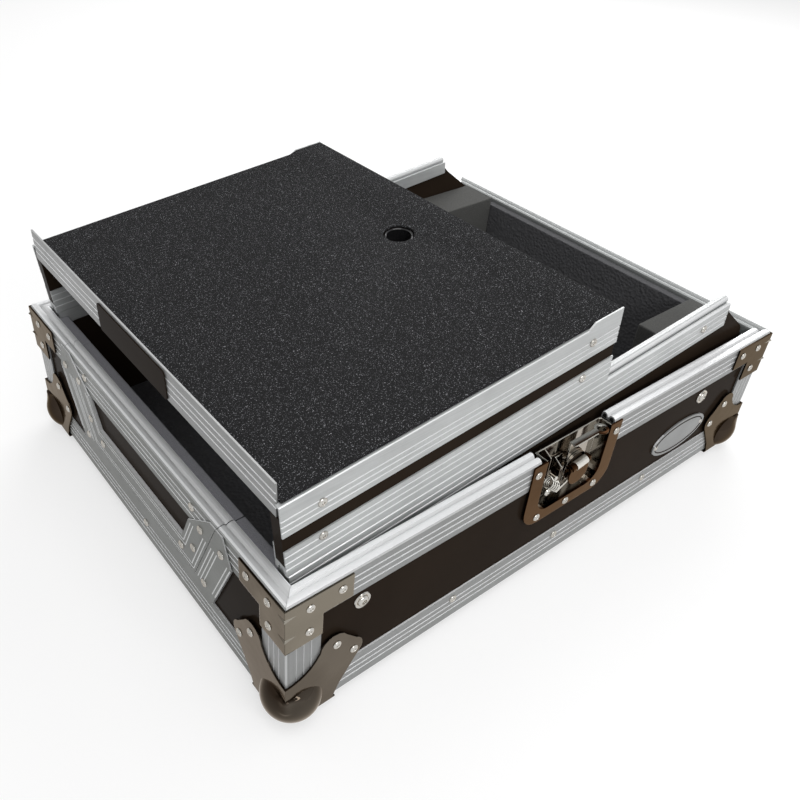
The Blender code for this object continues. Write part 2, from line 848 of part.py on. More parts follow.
def shelf(parent):
    edge = RIGHT + RAIL_Y
    flange = SHELF_TOP - SKIN
    board_top = flange - GAP
    board_low = board_top - PLY
    side = -edge - SET
    start = LIP_FACE + LIP_THICK + GAP
    slider = run(slider_profile(), "X", SHELF_START, SHELF_END, edge, 1, 0.0)
    sloped_pair("slider", slider, aluminium(), parent)
    wall = block(
        (SHELF_START, edge + SET, SLIDER_CHANNEL + GAP),
        (SHELF_END, edge + SET + PLY, board_low - GAP),
    )
    sloped_pair("shelf_wall", wall, plywood(), parent)

    hole_s = SHELF_END - HOLE_FROM_REAR
    bore = plate([arc((hole_s, 0.0), HOLE_RADIUS, 0, 345, 23)], "Z", 0.0, 2 * SHELF_TOP)
    board = block((start, -side, board_low), (SHELF_END, side, board_top))
    add("shelf_board", combine(board, bore, "DIFFERENCE"), plywood(), parent)

    over = SHELF_TOP + GAP
    top = over + PAD
    step = SHELF_END - PAD_STEP_LENGTH
    ramp = step - PAD_STEP_RAMP
    outline = [
        (start + GAP, over),
        (SHELF_END, over),
        (SHELF_END, top + PAD_STEP),
        (step, top + PAD_STEP),
        (ramp, top),
        (start + GAP, top),
    ]
    cover = plate([outline], "Y", -side, side)
    reach = -edge - SHELF_ANGLE - GAP
    behind = start + LIP_FLANGE + GAP
    core = block((behind, -reach, board_top + GAP), (SHELF_END, reach, over + PAD / 2))
    pad = combine(fused(cover, core), bore, "DIFFERENCE")
    add("shelf_pad", pad, dark_foam(), parent)

    cuts = [SHELF_ANGLE * share for share in (0.19, 0.37, 0.55)]
    outline = grooves(cuts, 0.0, 1)
    outline += [(0.0, SHELF_ANGLE - SKIN / 2), (SKIN / 2, SHELF_ANGLE)]
    outline += [(SHELF_ANGLE, SHELF_ANGLE), (SHELF_ANGLE, SHELF_ANGLE - SKIN)]
    outline += [(SKIN, SHELF_ANGLE - SKIN), (SKIN, 0.0), (0.0, 0.0)]
    low = SHELF_TOP - SHELF_ANGLE
    angle = run(outline, "X", SHELF_START, SHELF_END, edge, 1, low)
    room = block((0.0, edge + LIP_INSET - GAP, flange - GAP), (start, 0.0, 2 * SHELF_TOP))
    angle = combine(angle, room, "DIFFERENCE")
    tail = [(ramp, flange), (SHELF_END, flange), (SHELF_END, top + PAD_STEP)]
    tail += [(step, top + PAD_STEP), (ramp, SHELF_TOP - SKIN / 2)]
    angle = fused(angle, plate([tail], "Y", edge, edge + SKIN))
    sloped_pair("shelf_angle", angle, aluminium(), parent)
    shelf_lip(parent, flange, start, reach)

    profile = [
        (GROMMET_BORE, SHELF_TOP),
        (HOLE_RADIUS - GAP - SKIN, SHELF_TOP + SKIN / 2),
        (HOLE_RADIUS - GAP, SHELF_TOP),
        (HOLE_RADIUS - GAP, board_low - GAP),
        (GROMMET_FLANGE, board_low - GAP),
        (GROMMET_FLANGE, board_low - GAP - SKIN),
        (GROMMET_BORE, board_low - GAP - SKIN),
    ]
    ring = turned(profile, 28)
    add("cable_grommet", moved(ring, Matrix.Translation((hole_s, 0.0, 0.0))), rubber(), parent)


def shelf_lip(parent, flange, start, reach):
    """The laptop stop: a grooved face that leans a little to the rear, and its flange."""
    half = -RIGHT - RAIL_Y - LIP_INSET
    place = Matrix.Translation((LIP_FACE, 0.0, SHELF_TOP)) @ Matrix.Rotation(LIP_LEAN, 4, "Y")
    outline = grooves(list(reversed(three_grooves((LIP_UP - LIP_DOWN) / 2))), 0.0, 1)
    outline += [(0.0, LIP_UP), (LIP_THICK, LIP_UP), (LIP_THICK, -LIP_DOWN), (0.0, -LIP_DOWN)]
    face = moved(plate([outline], "Y", -half, half), place)
    foot = block((LIP_FACE + LIP_THICK / 2, -reach, flange), (start + LIP_FLANGE, reach, SHELF_TOP))
    add("shelf_lip", fused(face, foot), aluminium(), parent)

    high = LIP_UP - PLATE_DROP
    corner = (PLATE_LENGTH / 2 - PLATE_CORNER, high - PLATE_CORNER)
    low = high - PLATE_HEIGHT + PLATE_CORNER
    outline = arc(corner, PLATE_CORNER, 0, 90, 4)
    outline += arc((-corner[0], corner[1]), PLATE_CORNER, 90, 180, 4)
    outline += arc((-corner[0], low), PLATE_CORNER, 180, 270, 4)
    outline += arc((corner[0], low), PLATE_CORNER, 270, 360, 4)
    sign = moved(plate([outline], "X", -GAP - PLATE_THICK, -GAP), place)
    add("name_plate", sign, plywood(), parent)


# Latches: x along the side, y inwards from the outer face, z up from the rim's top


def latch_dish():
    low = -LATCH_HEIGHT
    half = LATCH_WIDTH / 2
    outside = -GAP - STEEL
    outline = [(-half, -RIDGE_OUTER), (half, -RIDGE_OUTER)]
    outline += arc((half - LATCH_CORNER, low + LATCH_CORNER), LATCH_CORNER, 0, -90, 6)
    outline += arc((LATCH_CORNER - half, low + LATCH_CORNER), LATCH_CORNER, -90, -180, 6)
    flange = plate([outline], "Y", outside, -GAP)
    cup = latch_notch(DISH_WIDTH / 2, DISH_HEIGHT, DISH_CORNER, 0.0)
    cup = [(x, min(z, -DISH_TOP)) for x, z in cup]
    body = plate([cup], "Y", outside, DISH_DEPTH)
    inner = DISH_CORNER - DISH_WALL
    room = latch_notch(DISH_WIDTH / 2 - DISH_WALL, DISH_HEIGHT - DISH_WALL, inner, 0.0)
    room[0], room[-1] = (room[0][0], DISH_DEPTH), (room[-1][0], DISH_DEPTH)
    hollow = plate([room], "Y", outside * 3, DISH_DEPTH - DISH_WALL)
    spindle = turned(
        [
            (0.0, DISH_DEPTH - DISH_WALL / 2),
            (SPINDLE_RADIUS, DISH_DEPTH - DISH_WALL / 2),
            (SPINDLE_RADIUS, ROTOR_OFF),
            (0.0, ROTOR_OFF),
        ],
        16,
    )
    quarter = Matrix.Rotation(-math.pi / 2, 4, "X")
    place = Matrix.Translation((TURN_ALONG, 0.0, -TURN_DROP)) @ quarter
    dish = combine(fused(flange, body), hollow, "DIFFERENCE")
    return fused(dish, moved(spindle, place))


def latch_rotor():
    """The turning disc with two lugs that carry the flap's barrel; its axis is Y through 0."""
    back = ROTOR_OFF - GAP
    front = back - ROTOR_THICK
    disc = turned(
        [(0.0, back), (ROTOR_RADIUS, back), (ROTOR_RADIUS, front), (0.0, front)],
        24,
    )
    disc = moved(disc, Matrix.Rotation(-math.pi / 2, 4, "X"))
    lugs = []
    for side in (-1, 1):
        near, far = sorted((side * (BARREL_HALF + GAP), side * (BARREL_HALF + GAP + SKIN)))
        low = (near, -BARREL_OUT - LUG_HALF, BARREL_UP - LUG_HALF)
        lugs.append(block(low, (far, front + GAP, BARREL_UP + LUG_HALF)))
    return fused(disc, *lugs)


def latch_flap():
    """A D-shaped flap hung from a barrel; the barrel's own axis is X through 0."""
    drop = -FLAP_DROP
    outline = [(-FLAP_NECK, 0.0)] + arc((0.0, drop), FLAP_RADIUS, 150, 390, 20)
    outline.append((FLAP_NECK, 0.0))
    flap = plate([outline], "Y", -FLAP_THICK / 2, FLAP_THICK / 2)
    barrel = turned(
        [
            (0.0, BARREL_HALF),
            (BARREL_RADIUS, BARREL_HALF),
            (BARREL_RADIUS, -BARREL_HALF),
            (0.0, -BARREL_HALF),
        ],
        18,
    )
    return fused(moved(barrel, Matrix.Rotation(math.pi / 2, 4, "Y")), flap)


def latch_hook():
    """A strap behind the disc whose bent top ends in a padlock eye; it slides up to lock."""
    back = HOOK_BACK
    front = back - HOOK_THICK
    slot = SPINDLE_RADIUS + 2 * GAP
    middle = (TURN_ALONG, -TURN_DROP)
    lower = (TURN_ALONG, -TURN_DROP - HOOK_TRAVEL)
    sides = [(-HOOK_LEFT, -HOOK_LOW), (HOOK_RIGHT, -HOOK_LOW)]
    sides += [(HOOK_RIGHT, -HOOK_TOP - GAP), (-HOOK_LEFT, -HOOK_TOP - GAP)]
    strap_slot = arc(middle, slot, 0, 180, 8) + arc(lower, slot, 180, 360, 8)
    strap = plate([sides, strap_slot], "Y", front, back)
    near, far = front - HOOK_LEDGE, front + HOOK_THICK / 2
    eye_middle = (EYE_ALONG, EYE_IN)
    first = 180 + math.degrees(math.asin((EYE_IN - near) / EYE_RADIUS))
    last = 540 - math.degrees(math.asin((far - EYE_IN) / EYE_RADIUS))
    ledge = [(-HOOK_LEFT, near)] + arc(eye_middle, EYE_RADIUS, first, last, 22)
    ledge.append((-HOOK_LEFT, far))
    hole = arc(eye_middle, EYE_HOLE, 0, 345, 23)
    return fused(strap, plate([ledge, hole], "Z", -HOOK_TOP - HOOK_THICK, -HOOK_TOP))


def latches():
    dish, rotor, flap, hook = latch_dish(), latch_rotor(), latch_flap(), latch_hook()
    for name, y, turn in (("right", RIGHT, 0.0), ("left", LEFT, math.pi)):
        frame = empty(f"latch_frame_{name}", (0.0, y, RIM), (0.0, 0.0, turn))
        add(f"latch_dish_{name}", dish.copy(), steel(), frame)
        add(f"latch_hook_{name}", hook.copy(), steel(), frame)
        spun = add(f"latch_rotor_{name}", rotor.copy(), steel(), frame)
        spun.location = (TURN_ALONG, 0.0, -TURN_DROP)
        spun.rotation_euler = (0.0, TURN_REST, 0.0)
        hung = add(f"latch_flap_{name}", flap.copy(), steel(), spun)
        hung.location = (0.0, -BARREL_OUT, BARREL_UP)


def badge():
    middle = (REAR - BADGE_FROM_REAR, RIM - BADGE_DROP)
    turns = [2 * math.pi * i / 32 for i in range(32)]
    outline = []
    for t in turns:
        x = middle[0] + BADGE_HALF_LENGTH * math.cos(t)
        outline.append((x, middle[1] + BADGE_HALF_HEIGHT * math.sin(t)))
    face = RIGHT + SET - GAP
    mesh = plate([outline], "Y", face - BADGE_THICK, face)
    add("oval_badge", mesh, aluminium())


def build():
    global collection
    clear_scene()
    collection = bpy.data.collections.new("dj mixer flight case")
    bpy.context.scene.collection.children.link(collection)
    side_panel("right_panel", Matrix.Identity(4))
    side_panel("left_panel", Matrix.Rotation(math.pi, 4, "Z"))
    end_panels()
    base_panel()
    rims()
    bottom_angles()
    corners()
    front_opening_frame()
    door(empty("door_frame_origin", (0.0, 0.0, 0.0)))
    tray_foam()
    rails()
    shelf(slope_frame("shelf_carriage"))
    latches()
    badge()


build()
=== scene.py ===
# Flight case tray for a dj mixer, with a laptop shelf that slides on sloping rails.
# Front (the player's side) is -X, the right side -Y and up +Z, in metres as in the frame.
import math

import bmesh
import bpy
from mathutils import Matrix, Vector


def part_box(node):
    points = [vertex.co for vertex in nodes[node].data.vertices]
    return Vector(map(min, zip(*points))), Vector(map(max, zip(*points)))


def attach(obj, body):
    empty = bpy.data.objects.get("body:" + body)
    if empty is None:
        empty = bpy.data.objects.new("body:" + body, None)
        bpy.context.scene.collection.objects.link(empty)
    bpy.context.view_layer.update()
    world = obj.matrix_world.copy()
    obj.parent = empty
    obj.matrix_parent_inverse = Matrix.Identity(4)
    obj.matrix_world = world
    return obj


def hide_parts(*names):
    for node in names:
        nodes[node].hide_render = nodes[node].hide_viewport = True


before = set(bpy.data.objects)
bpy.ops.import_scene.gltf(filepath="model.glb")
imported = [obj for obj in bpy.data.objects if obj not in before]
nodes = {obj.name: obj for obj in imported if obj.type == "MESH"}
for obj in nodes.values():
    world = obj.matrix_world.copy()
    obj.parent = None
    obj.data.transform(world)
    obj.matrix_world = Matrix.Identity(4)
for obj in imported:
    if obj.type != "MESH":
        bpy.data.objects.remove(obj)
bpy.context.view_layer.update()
print("frame loaded:", len(nodes), "CAD nodes")

mm = 0.001
sides = ("right", "left")
corners = ("front_right", "rear_right", "rear_left", "front_left")

# the case's outer planes, from the rim extrusions
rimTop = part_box("rim_rear")[1][2]
outerFront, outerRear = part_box("rim_front_right")[0][0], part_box("rim_rear")[1][0]
outerRight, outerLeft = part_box("rim_right_rear")[0][1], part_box("rim_left_rear")[1][1]
length, width = (outerRear - outerFront) / mm, (outerLeft - outerRight) / mm

slope = {
    "climb": 5.0,  # degrees that the rails and the shelf rise to the rear
    "drop": 0.8,  # mm from the rim's top down to the rails' seam, at the front plane
}
slopeFrame = Matrix.Translation((outerFront, 0.0, rimTop - slope["drop"] * mm))
slopeFrame = slopeFrame @ Matrix.Rotation(math.radians(-slope["climb"]), 4, "Y")
halfTurn = Matrix.Rotation(math.pi, 4, "Z")  # the left side's parts are the right side's, turned

# these sweep an outline in (y, z) along X, and one in (x, z) along Y
alongX = Matrix(((0, 0, 1), (1, 0, 0), (0, 1, 0))).to_4x4()
alongY = Matrix(((1, 0, 0), (0, 0, 1), (0, 1, 0))).to_4x4()


def hexColour(code):
    channels = [int(code[i : i + 2], 16) / 255 for i in (1, 3, 5)]
    linear = [c / 12.92 if c <= 0.04045 else ((c + 0.055) / 1.055) ** 2.4 for c in channels]
    return (*linear, 1.0)


def addNode(tree, kind, settings=None, links=None):
    # a number names a socket by its place: a colour mix takes 6 and 7 and gives 2
    made = tree.nodes.new("ShaderNode" + kind)
    for name, value in (settings or {}).items():
        if isinstance(name, str) and hasattr(made, name):
            setattr(made, name, value)
        else:
            made.inputs[name].default_value = value
    for name, socket in (links or {}).items():
        tree.links.new(socket, made.inputs[name])
    return made


def newMaterial(name):
    made = bpy.data.materials.new(name)
    made.use_nodes = True
    tree = made.node_tree
    return made, tree, tree.nodes["Principled BSDF"]


alu = {
    "long": ("#989999", "#888988"),  # light and shade of the long sides
    "front": ("#6c6e6a", "#5c5e5a"),  # painted shade: a darker copy of the same aluminium, for the pieces across the front and the bottom angles at both ends
    # painted light: the rails get a lighter copy of the same aluminium, where they lie in shade
    # inside the case
    "rail": ("#c9cbcb", "#b4b6b6"),
    "rear": ("#8e9190", "#7e8180"),  # painted shade: a darker copy of the same aluminium for the rear rim, which lies against the white paper
    "hollow": ("#2c2c2a", "#1c1c1b"),  # painted shade for inside the rim's cut ends, where little light falls
    "paintedHighlight": "#fafbfc",  # painted highlight on the sides of the grooves and on the rim's ridges
    "metallic": 0.3,
    "roughness": 0.36,
    "handling": 0.07,  # how far the smears move the roughness, up and down
    "smear": 41.67,  # mm across
    "lineSpacing": 0.5,  # mm between die lines; real ones are finer, these just show
    "lineLength": 125.0,
    "lineDepth": 0.05,
    "softEdge": 0.25,  # mm, how far an extruded edge is rounded
    "flatTop": 3.0,  # how strongly the ridges on top are shaded as one face
}


def aluminium(name, along, tint, topHighlight, grooveHighlight=1.0):
    # extruded and satin anodised: a soft sheen, and faint die lines that follow the run
    made, tree, shader = newMaterial(name)
    stretch = [1 / (alu["lineSpacing"] * mm)] * 3
    stretch["XYZ".index(along)] = 1 / (alu["lineLength"] * mm)
    place = addNode(tree, "TexCoord").outputs["Object"]
    run = addNode(tree, "Mapping", {"Scale": stretch}, {"Vector": place}).outputs[0]
    lines = {"Scale": 1.0, "Detail": 3.0, "Roughness": 0.6}
    lines = addNode(tree, "TexNoise", lines, {"Vector": run})
    smear = {"Scale": 1 / (alu["smear"] * mm), "Detail": 5.0, "Roughness": 0.65}
    smear = addNode(tree, "TexNoise", smear, {"Vector": place})
    both = {0: lines.outputs[0], 1: smear.outputs[0]}
    both = addNode(tree, "Math", {"operation": "MULTIPLY"}, both)
    tone = {"From Min": 0.12, "From Max": 0.40}
    tone = addNode(tree, "MapRange", tone, {"Value": both.outputs[0]})
    lit, shade = (hexColour(code) for code in alu[tint])
    tints = {"data_type": "RGBA", 6: shade, 7: lit}
    colour = addNode(tree, "Mix", tints, {0: tone.outputs[0]})

    # painted highlight: a face that is square to no axis is the side of a groove, and it is painted
    # bright
    square = addNode(tree, "NewGeometry").outputs["True Normal"]
    square = addNode(tree, "VectorMath", {"operation": "ABSOLUTE"}, {0: square})
    square = addNode(tree, "SeparateXYZ", None, {0: square.outputs[0]})
    most = {0: square.outputs["X"], 1: square.outputs["Y"]}
    most = addNode(tree, "Math", {"operation": "MAXIMUM"}, most)
    most = {0: most.outputs[0], 1: square.outputs["Z"]}
    most = addNode(tree, "Math", {"operation": "MAXIMUM"}, most)
    flankHighlight = {"From Min": 0.94, "From Max": 0.86, "To Max": grooveHighlight}
    flankHighlight = addNode(tree, "MapRange", flankHighlight, {"Value": most.outputs[0]})
    # the ridges on top get the same painted highlight
    height = addNode(tree, "NewGeometry").outputs["Normal"]
    height = addNode(tree, "SeparateXYZ", None, {0: height}).outputs["Z"]
    top = {"From Min": 0.1, "From Max": 0.6, "To Max": topHighlight}
    top = addNode(tree, "MapRange", top, {"Value": height})
    highlightMask = {0: flankHighlight.outputs[0], 1: top.outputs[0]}
    highlightMask = addNode(tree, "Math", {"operation": "MAXIMUM"}, highlightMask)
    paintedHighlight = {"data_type": "RGBA", 7: hexColour(alu["paintedHighlight"])}
    colour = addNode(tree, "Mix", paintedHighlight, {0: highlightMask.outputs[0], 6: colour.outputs[2]})
    tree.links.new(colour.outputs[2], shader.inputs["Base Color"])

    gloss = {
        "To Min": alu["roughness"] + alu["handling"],
        "To Max": alu["roughness"] - alu["handling"],
    }
    gloss = addNode(tree, "MapRange", gloss, {"Value": smear.outputs[0]})
    tree.links.new(gloss.outputs[0], shader.inputs["Roughness"])
    edge = addNode(tree, "Bevel", {"samples": 4, "Radius": alu["softEdge"] * mm})
    relief = {"Strength": 0.22, "Distance": alu["lineDepth"] * mm}
    bump = {"Height": lines.outputs[0], "Normal": edge.outputs[0]}
    bump = addNode(tree, "Bump", relief, bump)
    # the ridges on top are shallower than they are cut, so their shading is evened out
    lift = {"operation": "MULTIPLY", 1: alu["flatTop"]}
    lift = addNode(tree, "Math", lift, {0: top.outputs[0]})
    lift = addNode(tree, "CombineXYZ", None, {"Z": lift.outputs[0]})
    even = {0: bump.outputs[0], 1: lift.outputs[0]}
    even = addNode(tree, "VectorMath", {"operation": "ADD"}, even)
    even = addNode(tree, "VectorMath", {"operation": "NORMALIZE"}, {0: even.outputs[0]})
    tree.links.new(even.outputs[0], shader.inputs["Normal"])
    shader.inputs["Metallic"].default_value = alu["metallic"]
    return made


nickel = {
    "ripple": 14.286,  # mm, waves left by the press
    "rippleHeight": 0.4,
    "haze": 4.167,  # mm, patches that are duller
    "cloud": 45.455,  # mm across a patch of painted reflection, running from brown to grey
    "greyest": 0.45,
    "sideReflection": 0.65,  # painted reflection: how much greyer the long sides are
    "paintedInside": (0.3, 3.0),  # mm behind the side's face, where the painted light inside the dish starts and is full
}
plating = {  # softEdge in mm; glance tints what shows at a glancing view; the dark warm tints are painted reflection of a dark room
    "pressed": {"brown": "#2a221b", "grey": "#5c564e", "roughness": 0.08, "softEdge": 0.4},
    "folded": {"brown": "#241d13", "grey": "#7d776c", "roughness": 0.09, "softEdge": 1.3},
    # painted shade: a darker copy for the corners other than the front right
    "shaded": {
        "brown": "#261e18",
        "grey": "#443b33",
        "roughness": 0.09,
        "softEdge": 0.5,
        "glance": "#dad1c6",
    },
    "latch": {
        "brown": "#2c1a0e",
        "grey": "#3d2817",
        "roughness": 0.09,
        "softEdge": 0.4,
        "glance": "#f8e6d6",
        "inside": "#a8a7a2",
    },
    "bright": {"brown": "#9a978f", "grey": "#cfcec9", "roughness": 0.12, "softEdge": 0.3},
    "dart": {"brown": "#3c352b", "grey": "#a9a49a", "roughness": 0.12, "softEdge": 0.2},
    "pale": {"brown": "#c4c2bb", "grey": "#e2e1dc", "roughness": 0.3, "softEdge": 0.3},
    "rivet": {"brown": "#a5a29c", "grey": "#c2c0bb", "roughness": 0.13, "softEdge": 0.1},
}


def nickelSteel(name, brown, grey, roughness, softEdge, glance="#fdf4ea", inside=None):
    # pressed steel under bright nickel, faintly rippled by the press; a dark warm tint given to it
    # is painted reflection of a dark room
    made, tree, shader = newMaterial(name)
    place = addNode(tree, "TexCoord").outputs["Object"]
    ripple = {"Scale": 1 / (nickel["ripple"] * mm), "Detail": 2.0}
    ripple = addNode(tree, "TexNoise", ripple, {"Vector": place})
    haze = {"Scale": 1 / (nickel["haze"] * mm), "Detail": 5.0}
    haze = addNode(tree, "TexNoise", haze, {"Vector": place})
    gloss = {"To Min": roughness * 0.5, "To Max": roughness * 1.7}
    gloss = addNode(tree, "MapRange", gloss, {"Value": haze.outputs[0]})
    tree.links.new(gloss.outputs[0], shader.inputs["Roughness"])
    edge = addNode(tree, "Bevel", {"samples": 6, "Radius": softEdge * mm})
    relief = {"Strength": 0.35, "Distance": nickel["rippleHeight"] * mm}
    bump = {"Height": ripple.outputs[0], "Normal": edge.outputs[0]}
    bump = addNode(tree, "Bump", relief, bump)
    tree.links.new(bump.outputs[0], shader.inputs["Normal"])

    # painted reflection: broad patches run from brown to grey, more so on the long sides
    cloud = {"Scale": 1 / (nickel["cloud"] * mm), "Detail": 1.0}
    cloud = addNode(tree, "TexNoise", cloud, {"Vector": place})
    cloudReflection = {"From Min": 0.36, "From Max": 0.64, "To Max": nickel["greyest"]}
    cloudReflection = addNode(tree, "MapRange", cloudReflection, {"Value": cloud.outputs[0]})
    side = addNode(tree, "NewGeometry").outputs["Normal"]
    side = addNode(tree, "SeparateXYZ", None, {0: side}).outputs["Y"]
    side = addNode(tree, "Math", {"operation": "POWER", 1: 2.0}, {0: side})
    share = {"operation": "MULTIPLY", 1: nickel["sideReflection"]}
    side = addNode(tree, "Math", share, {0: side.outputs[0]})
    share = {0: cloudReflection.outputs[0], 1: side.outputs[0]}
    share = addNode(tree, "Math", {"operation": "ADD", "use_clamp": True}, share)
    tints = {"data_type": "RGBA", 6: hexColour(brown), 7: hexColour(grey)}
    colour = addNode(tree, "Mix", tints, {0: share.outputs[0]})
    if inside:
        # painted light: the dish is paler inside, behind the face of the side panel, where it lies
        # in shade
        start, full = nickel["paintedInside"]
        depth = addNode(tree, "SeparateXYZ", None, {0: place}).outputs["Y"]
        depth = addNode(tree, "Math", {"operation": "ABSOLUTE"}, {0: depth})
        behind = {"From Min": outerLeft - start * mm, "From Max": outerLeft - full * mm}
        behind = addNode(tree, "MapRange", behind, {"Value": depth.outputs[0]})
        paintedInside = {"data_type": "RGBA", 7: hexColour(inside)}
        colour = addNode(tree, "Mix", paintedInside, {0: behind.outputs[0], 6: colour.outputs[2]})
    tree.links.new(colour.outputs[2], shader.inputs["Base Color"])
    shader.inputs["Metallic"].default_value = 1.0
    shader.inputs["Specular Tint"].default_value = hexColour(glance)
    return made


film = {
    "dark": "#261e18",
    "light": "#342b23",
    "cloud": 90.909,  # mm across a patch
    "roughness": 0.16,
    "grain": 1.2,  # mm, the orange peel
    "grainHeight": 0.06,
    "ior": 1.04,  # matched: the film looks black even where it shines
}


def laminate(name):
    # phenolic film hot-pressed on the sheet: black-brown and glossy, with a faint orange peel
    made, tree, shader = newMaterial(name)
    place = addNode(tree, "TexCoord").outputs["Object"]
    cloud = {"Scale": 1 / (film["cloud"] * mm), "Detail": 4.0}
    cloud = addNode(tree, "TexNoise", cloud, {"Vector": place})
    peel = {"Scale": 1 / (film["grain"] * mm), "Detail": 3.0}
    peel = addNode(tree, "TexNoise", peel, {"Vector": place})
    tints = {"data_type": "RGBA", 6: hexColour(film["dark"]), 7: hexColour(film["light"])}
    colour = addNode(tree, "Mix", tints, {0: cloud.outputs[0]})
    tree.links.new(colour.outputs[2], shader.inputs["Base Color"])
    gloss = {"To Min": film["roughness"] * 0.7, "To Max": film["roughness"] * 1.5}
    gloss = addNode(tree, "MapRange", gloss, {"Value": cloud.outputs[0]})
    tree.links.new(gloss.outputs[0], shader.inputs["Roughness"])
    relief = {"Strength": 0.15, "Distance": film["grainHeight"] * mm}
    bump = addNode(tree, "Bump", relief, {"Height": peel.outputs[0]})
    tree.links.new(bump.outputs[0], shader.inputs["Normal"])
    shader.inputs["IOR"].default_value = film["ior"]
    return made


grommet = {
    "dark": "#101011",
    "light": "#1f1f20",
    "grain": 1.1,  # mm; the mould's sanding is finer, this just shows
    "grainHeight": 0.1,
    "roughness": 0.24,
}


def mouldedRubber(name):
    # black rubber from a mould: dull, with a fine sanded skin
    made, tree, shader = newMaterial(name)
    place = addNode(tree, "TexCoord").outputs["Object"]
    grain = {"Scale": 1 / (grommet["grain"] * mm), "Detail": 2.0}
    grain = addNode(tree, "TexNoise", grain, {"Vector": place})
    tints = {"data_type": "RGBA", 6: hexColour(grommet["dark"]), 7: hexColour(grommet["light"])}
    colour = addNode(tree, "Mix", tints, {0: grain.outputs[0]})
    tree.links.new(colour.outputs[2], shader.inputs["Base Color"])
    relief = {"Strength": 0.3, "Distance": grommet["grainHeight"] * mm}
    bump = addNode(tree, "Bump", relief, {"Height": grain.outputs[0]})
    tree.links.new(bump.outputs[0], shader.inputs["Normal"])
    shader.inputs["Roughness"].default_value = grommet["roughness"]
    return made


foam = {  # cell in mm: real cells are finer, these just show; glow is how bright the specks are
    "pad": {"dark": "#111112", "light": "#2a2a2b", "speck": "#bcbdc2", "cell": 0.62, "glow": 0.9},
    "wall": {"dark": "#8b8b90", "light": "#a0a0a6", "speck": "#b4b5ba", "cell": 0.8, "glow": 0.4},
    "block": {"dark": "#4d4d4c", "light": "#60605e", "speck": "#787875", "cell": 0.8, "glow": 0.3},
    "lining": {
        "dark": "#4d4d4f",
        "light": "#616163",
        "speck": "#7a7a7e",
        "cell": 3.0,
        "glow": 0.25,
        "relief": 0.4,
    },
}


def cellFoam(name, dark, light, speck, cell, glow, relief=0.5):
    # closed-cell foam, split from the block: the cut cells catch the light as fine specks
    made, tree, shader = newMaterial(name)
    place = addNode(tree, "TexCoord").outputs["Object"]
    scale = 1 / (cell * mm)
    body = {"Scale": 0.5 * scale, "Detail": 4.0, "Roughness": 0.7}
    body = addNode(tree, "TexNoise", body, {"Vector": place})
    cells = addNode(tree, "TexVoronoi", {"Scale": scale}, {"Vector": place})
    glint = {"Scale": 0.8 * scale, "Detail": 2.0, "Roughness": 0.7}
    glint = addNode(tree, "TexNoise", glint, {"Vector": place})
    tints = {"data_type": "RGBA", 6: hexColour(dark), 7: hexColour(light)}
    ground = addNode(tree, "Mix", tints, {0: body.outputs[0]})
    bright = {"From Min": 0.61, "From Max": 0.73, "To Max": glow}
    bright = addNode(tree, "MapRange", bright, {"Value": glint.outputs[0]})
    tints = {"data_type": "RGBA", 7: hexColour(speck)}
    colour = addNode(tree, "Mix", tints, {0: bright.outputs[0], 6: ground.outputs[2]})
    tree.links.new(colour.outputs[2], shader.inputs["Base Color"])
    raised = {"Strength": 0.6, "Distance": relief * cell * mm}
    bump = addNode(tree, "Bump", raised, {"Height": cells.outputs["Distance"]})
    tree.links.new(bump.outputs[0], shader.inputs["Normal"])
    shader.inputs["Roughness"].default_value = 0.8
    shader.inputs["Specular IOR Level"].default_value = 0.06
    return made


# the fourth and fifth numbers say how much painted highlight the up-facing faces and the sides of
# the grooves get
rimX = aluminium("satin anodised aluminium rim extruded along X", "X", "long", 1.0)
rimY = aluminium("satin anodised aluminium rim extruded along Y", "Y", "front", 0.75)
rearRimY = aluminium("anodised aluminium rim at the rear with painted shade", "Y", "rear", 0.0, 0.3)
railX = aluminium("mill finish aluminium rail extruded along X", "X", "rail", 0.0, 0.55)
lipY = aluminium("mill finish aluminium angle extruded along Y", "Y", "long", 0.2)
angleZ = aluminium("polished aluminium angle extruded along Z", "Z", "long", 0.2, 0.45)
steel = nickelSteel("nickel-plated pressed steel", **plating["pressed"])
foldedSteel = nickelSteel("nickel-plated folded steel", **plating["folded"])
shadedSteel = nickelSteel("nickel-plated pressed steel with painted shade", **plating["shaded"])
latchSteel = nickelSteel("nickel-plated drawn steel with painted reflection and light", **plating["latch"])
brightSteel = nickelSteel("bright nickel-plated steel", **plating["bright"])
dartSteel = nickelSteel("nickel-plated steel rubbed at the fold", **plating["dart"])
paleSteel = nickelSteel("pale zinc-plated steel", **plating["pale"])
rivetSteel = nickelSteel("bright nickel rivet steel", **plating["rivet"])
laminateLook = laminate("phenolic film on birch plywood")
plateLook = laminate("black-brown lacquered plate")
hollowShadeLook = aluminium("painted shade inside the rim's hollow", "X", "hollow", 0.0, 0.0)
badgeLook = aluminium("brushed aluminium badge", "X", "long", 0.0)
rubber = mouldedRubber("moulded black rubber")
padFoam = cellFoam("charcoal EVA foam sheet", **foam["pad"])
wallFoam = cellFoam("grey EVA foam sheet", **foam["wall"])
blockFoam = cellFoam("dark grey EVA foam block", **foam["block"])
liningFoam = cellFoam("dimpled polyurethane foam lining", **foam["lining"])
print("materials made")


def dress(names, look):
    for name in names:
        part = nodes[name]
        part.data.materials.clear()
        part.data.materials.append(look)


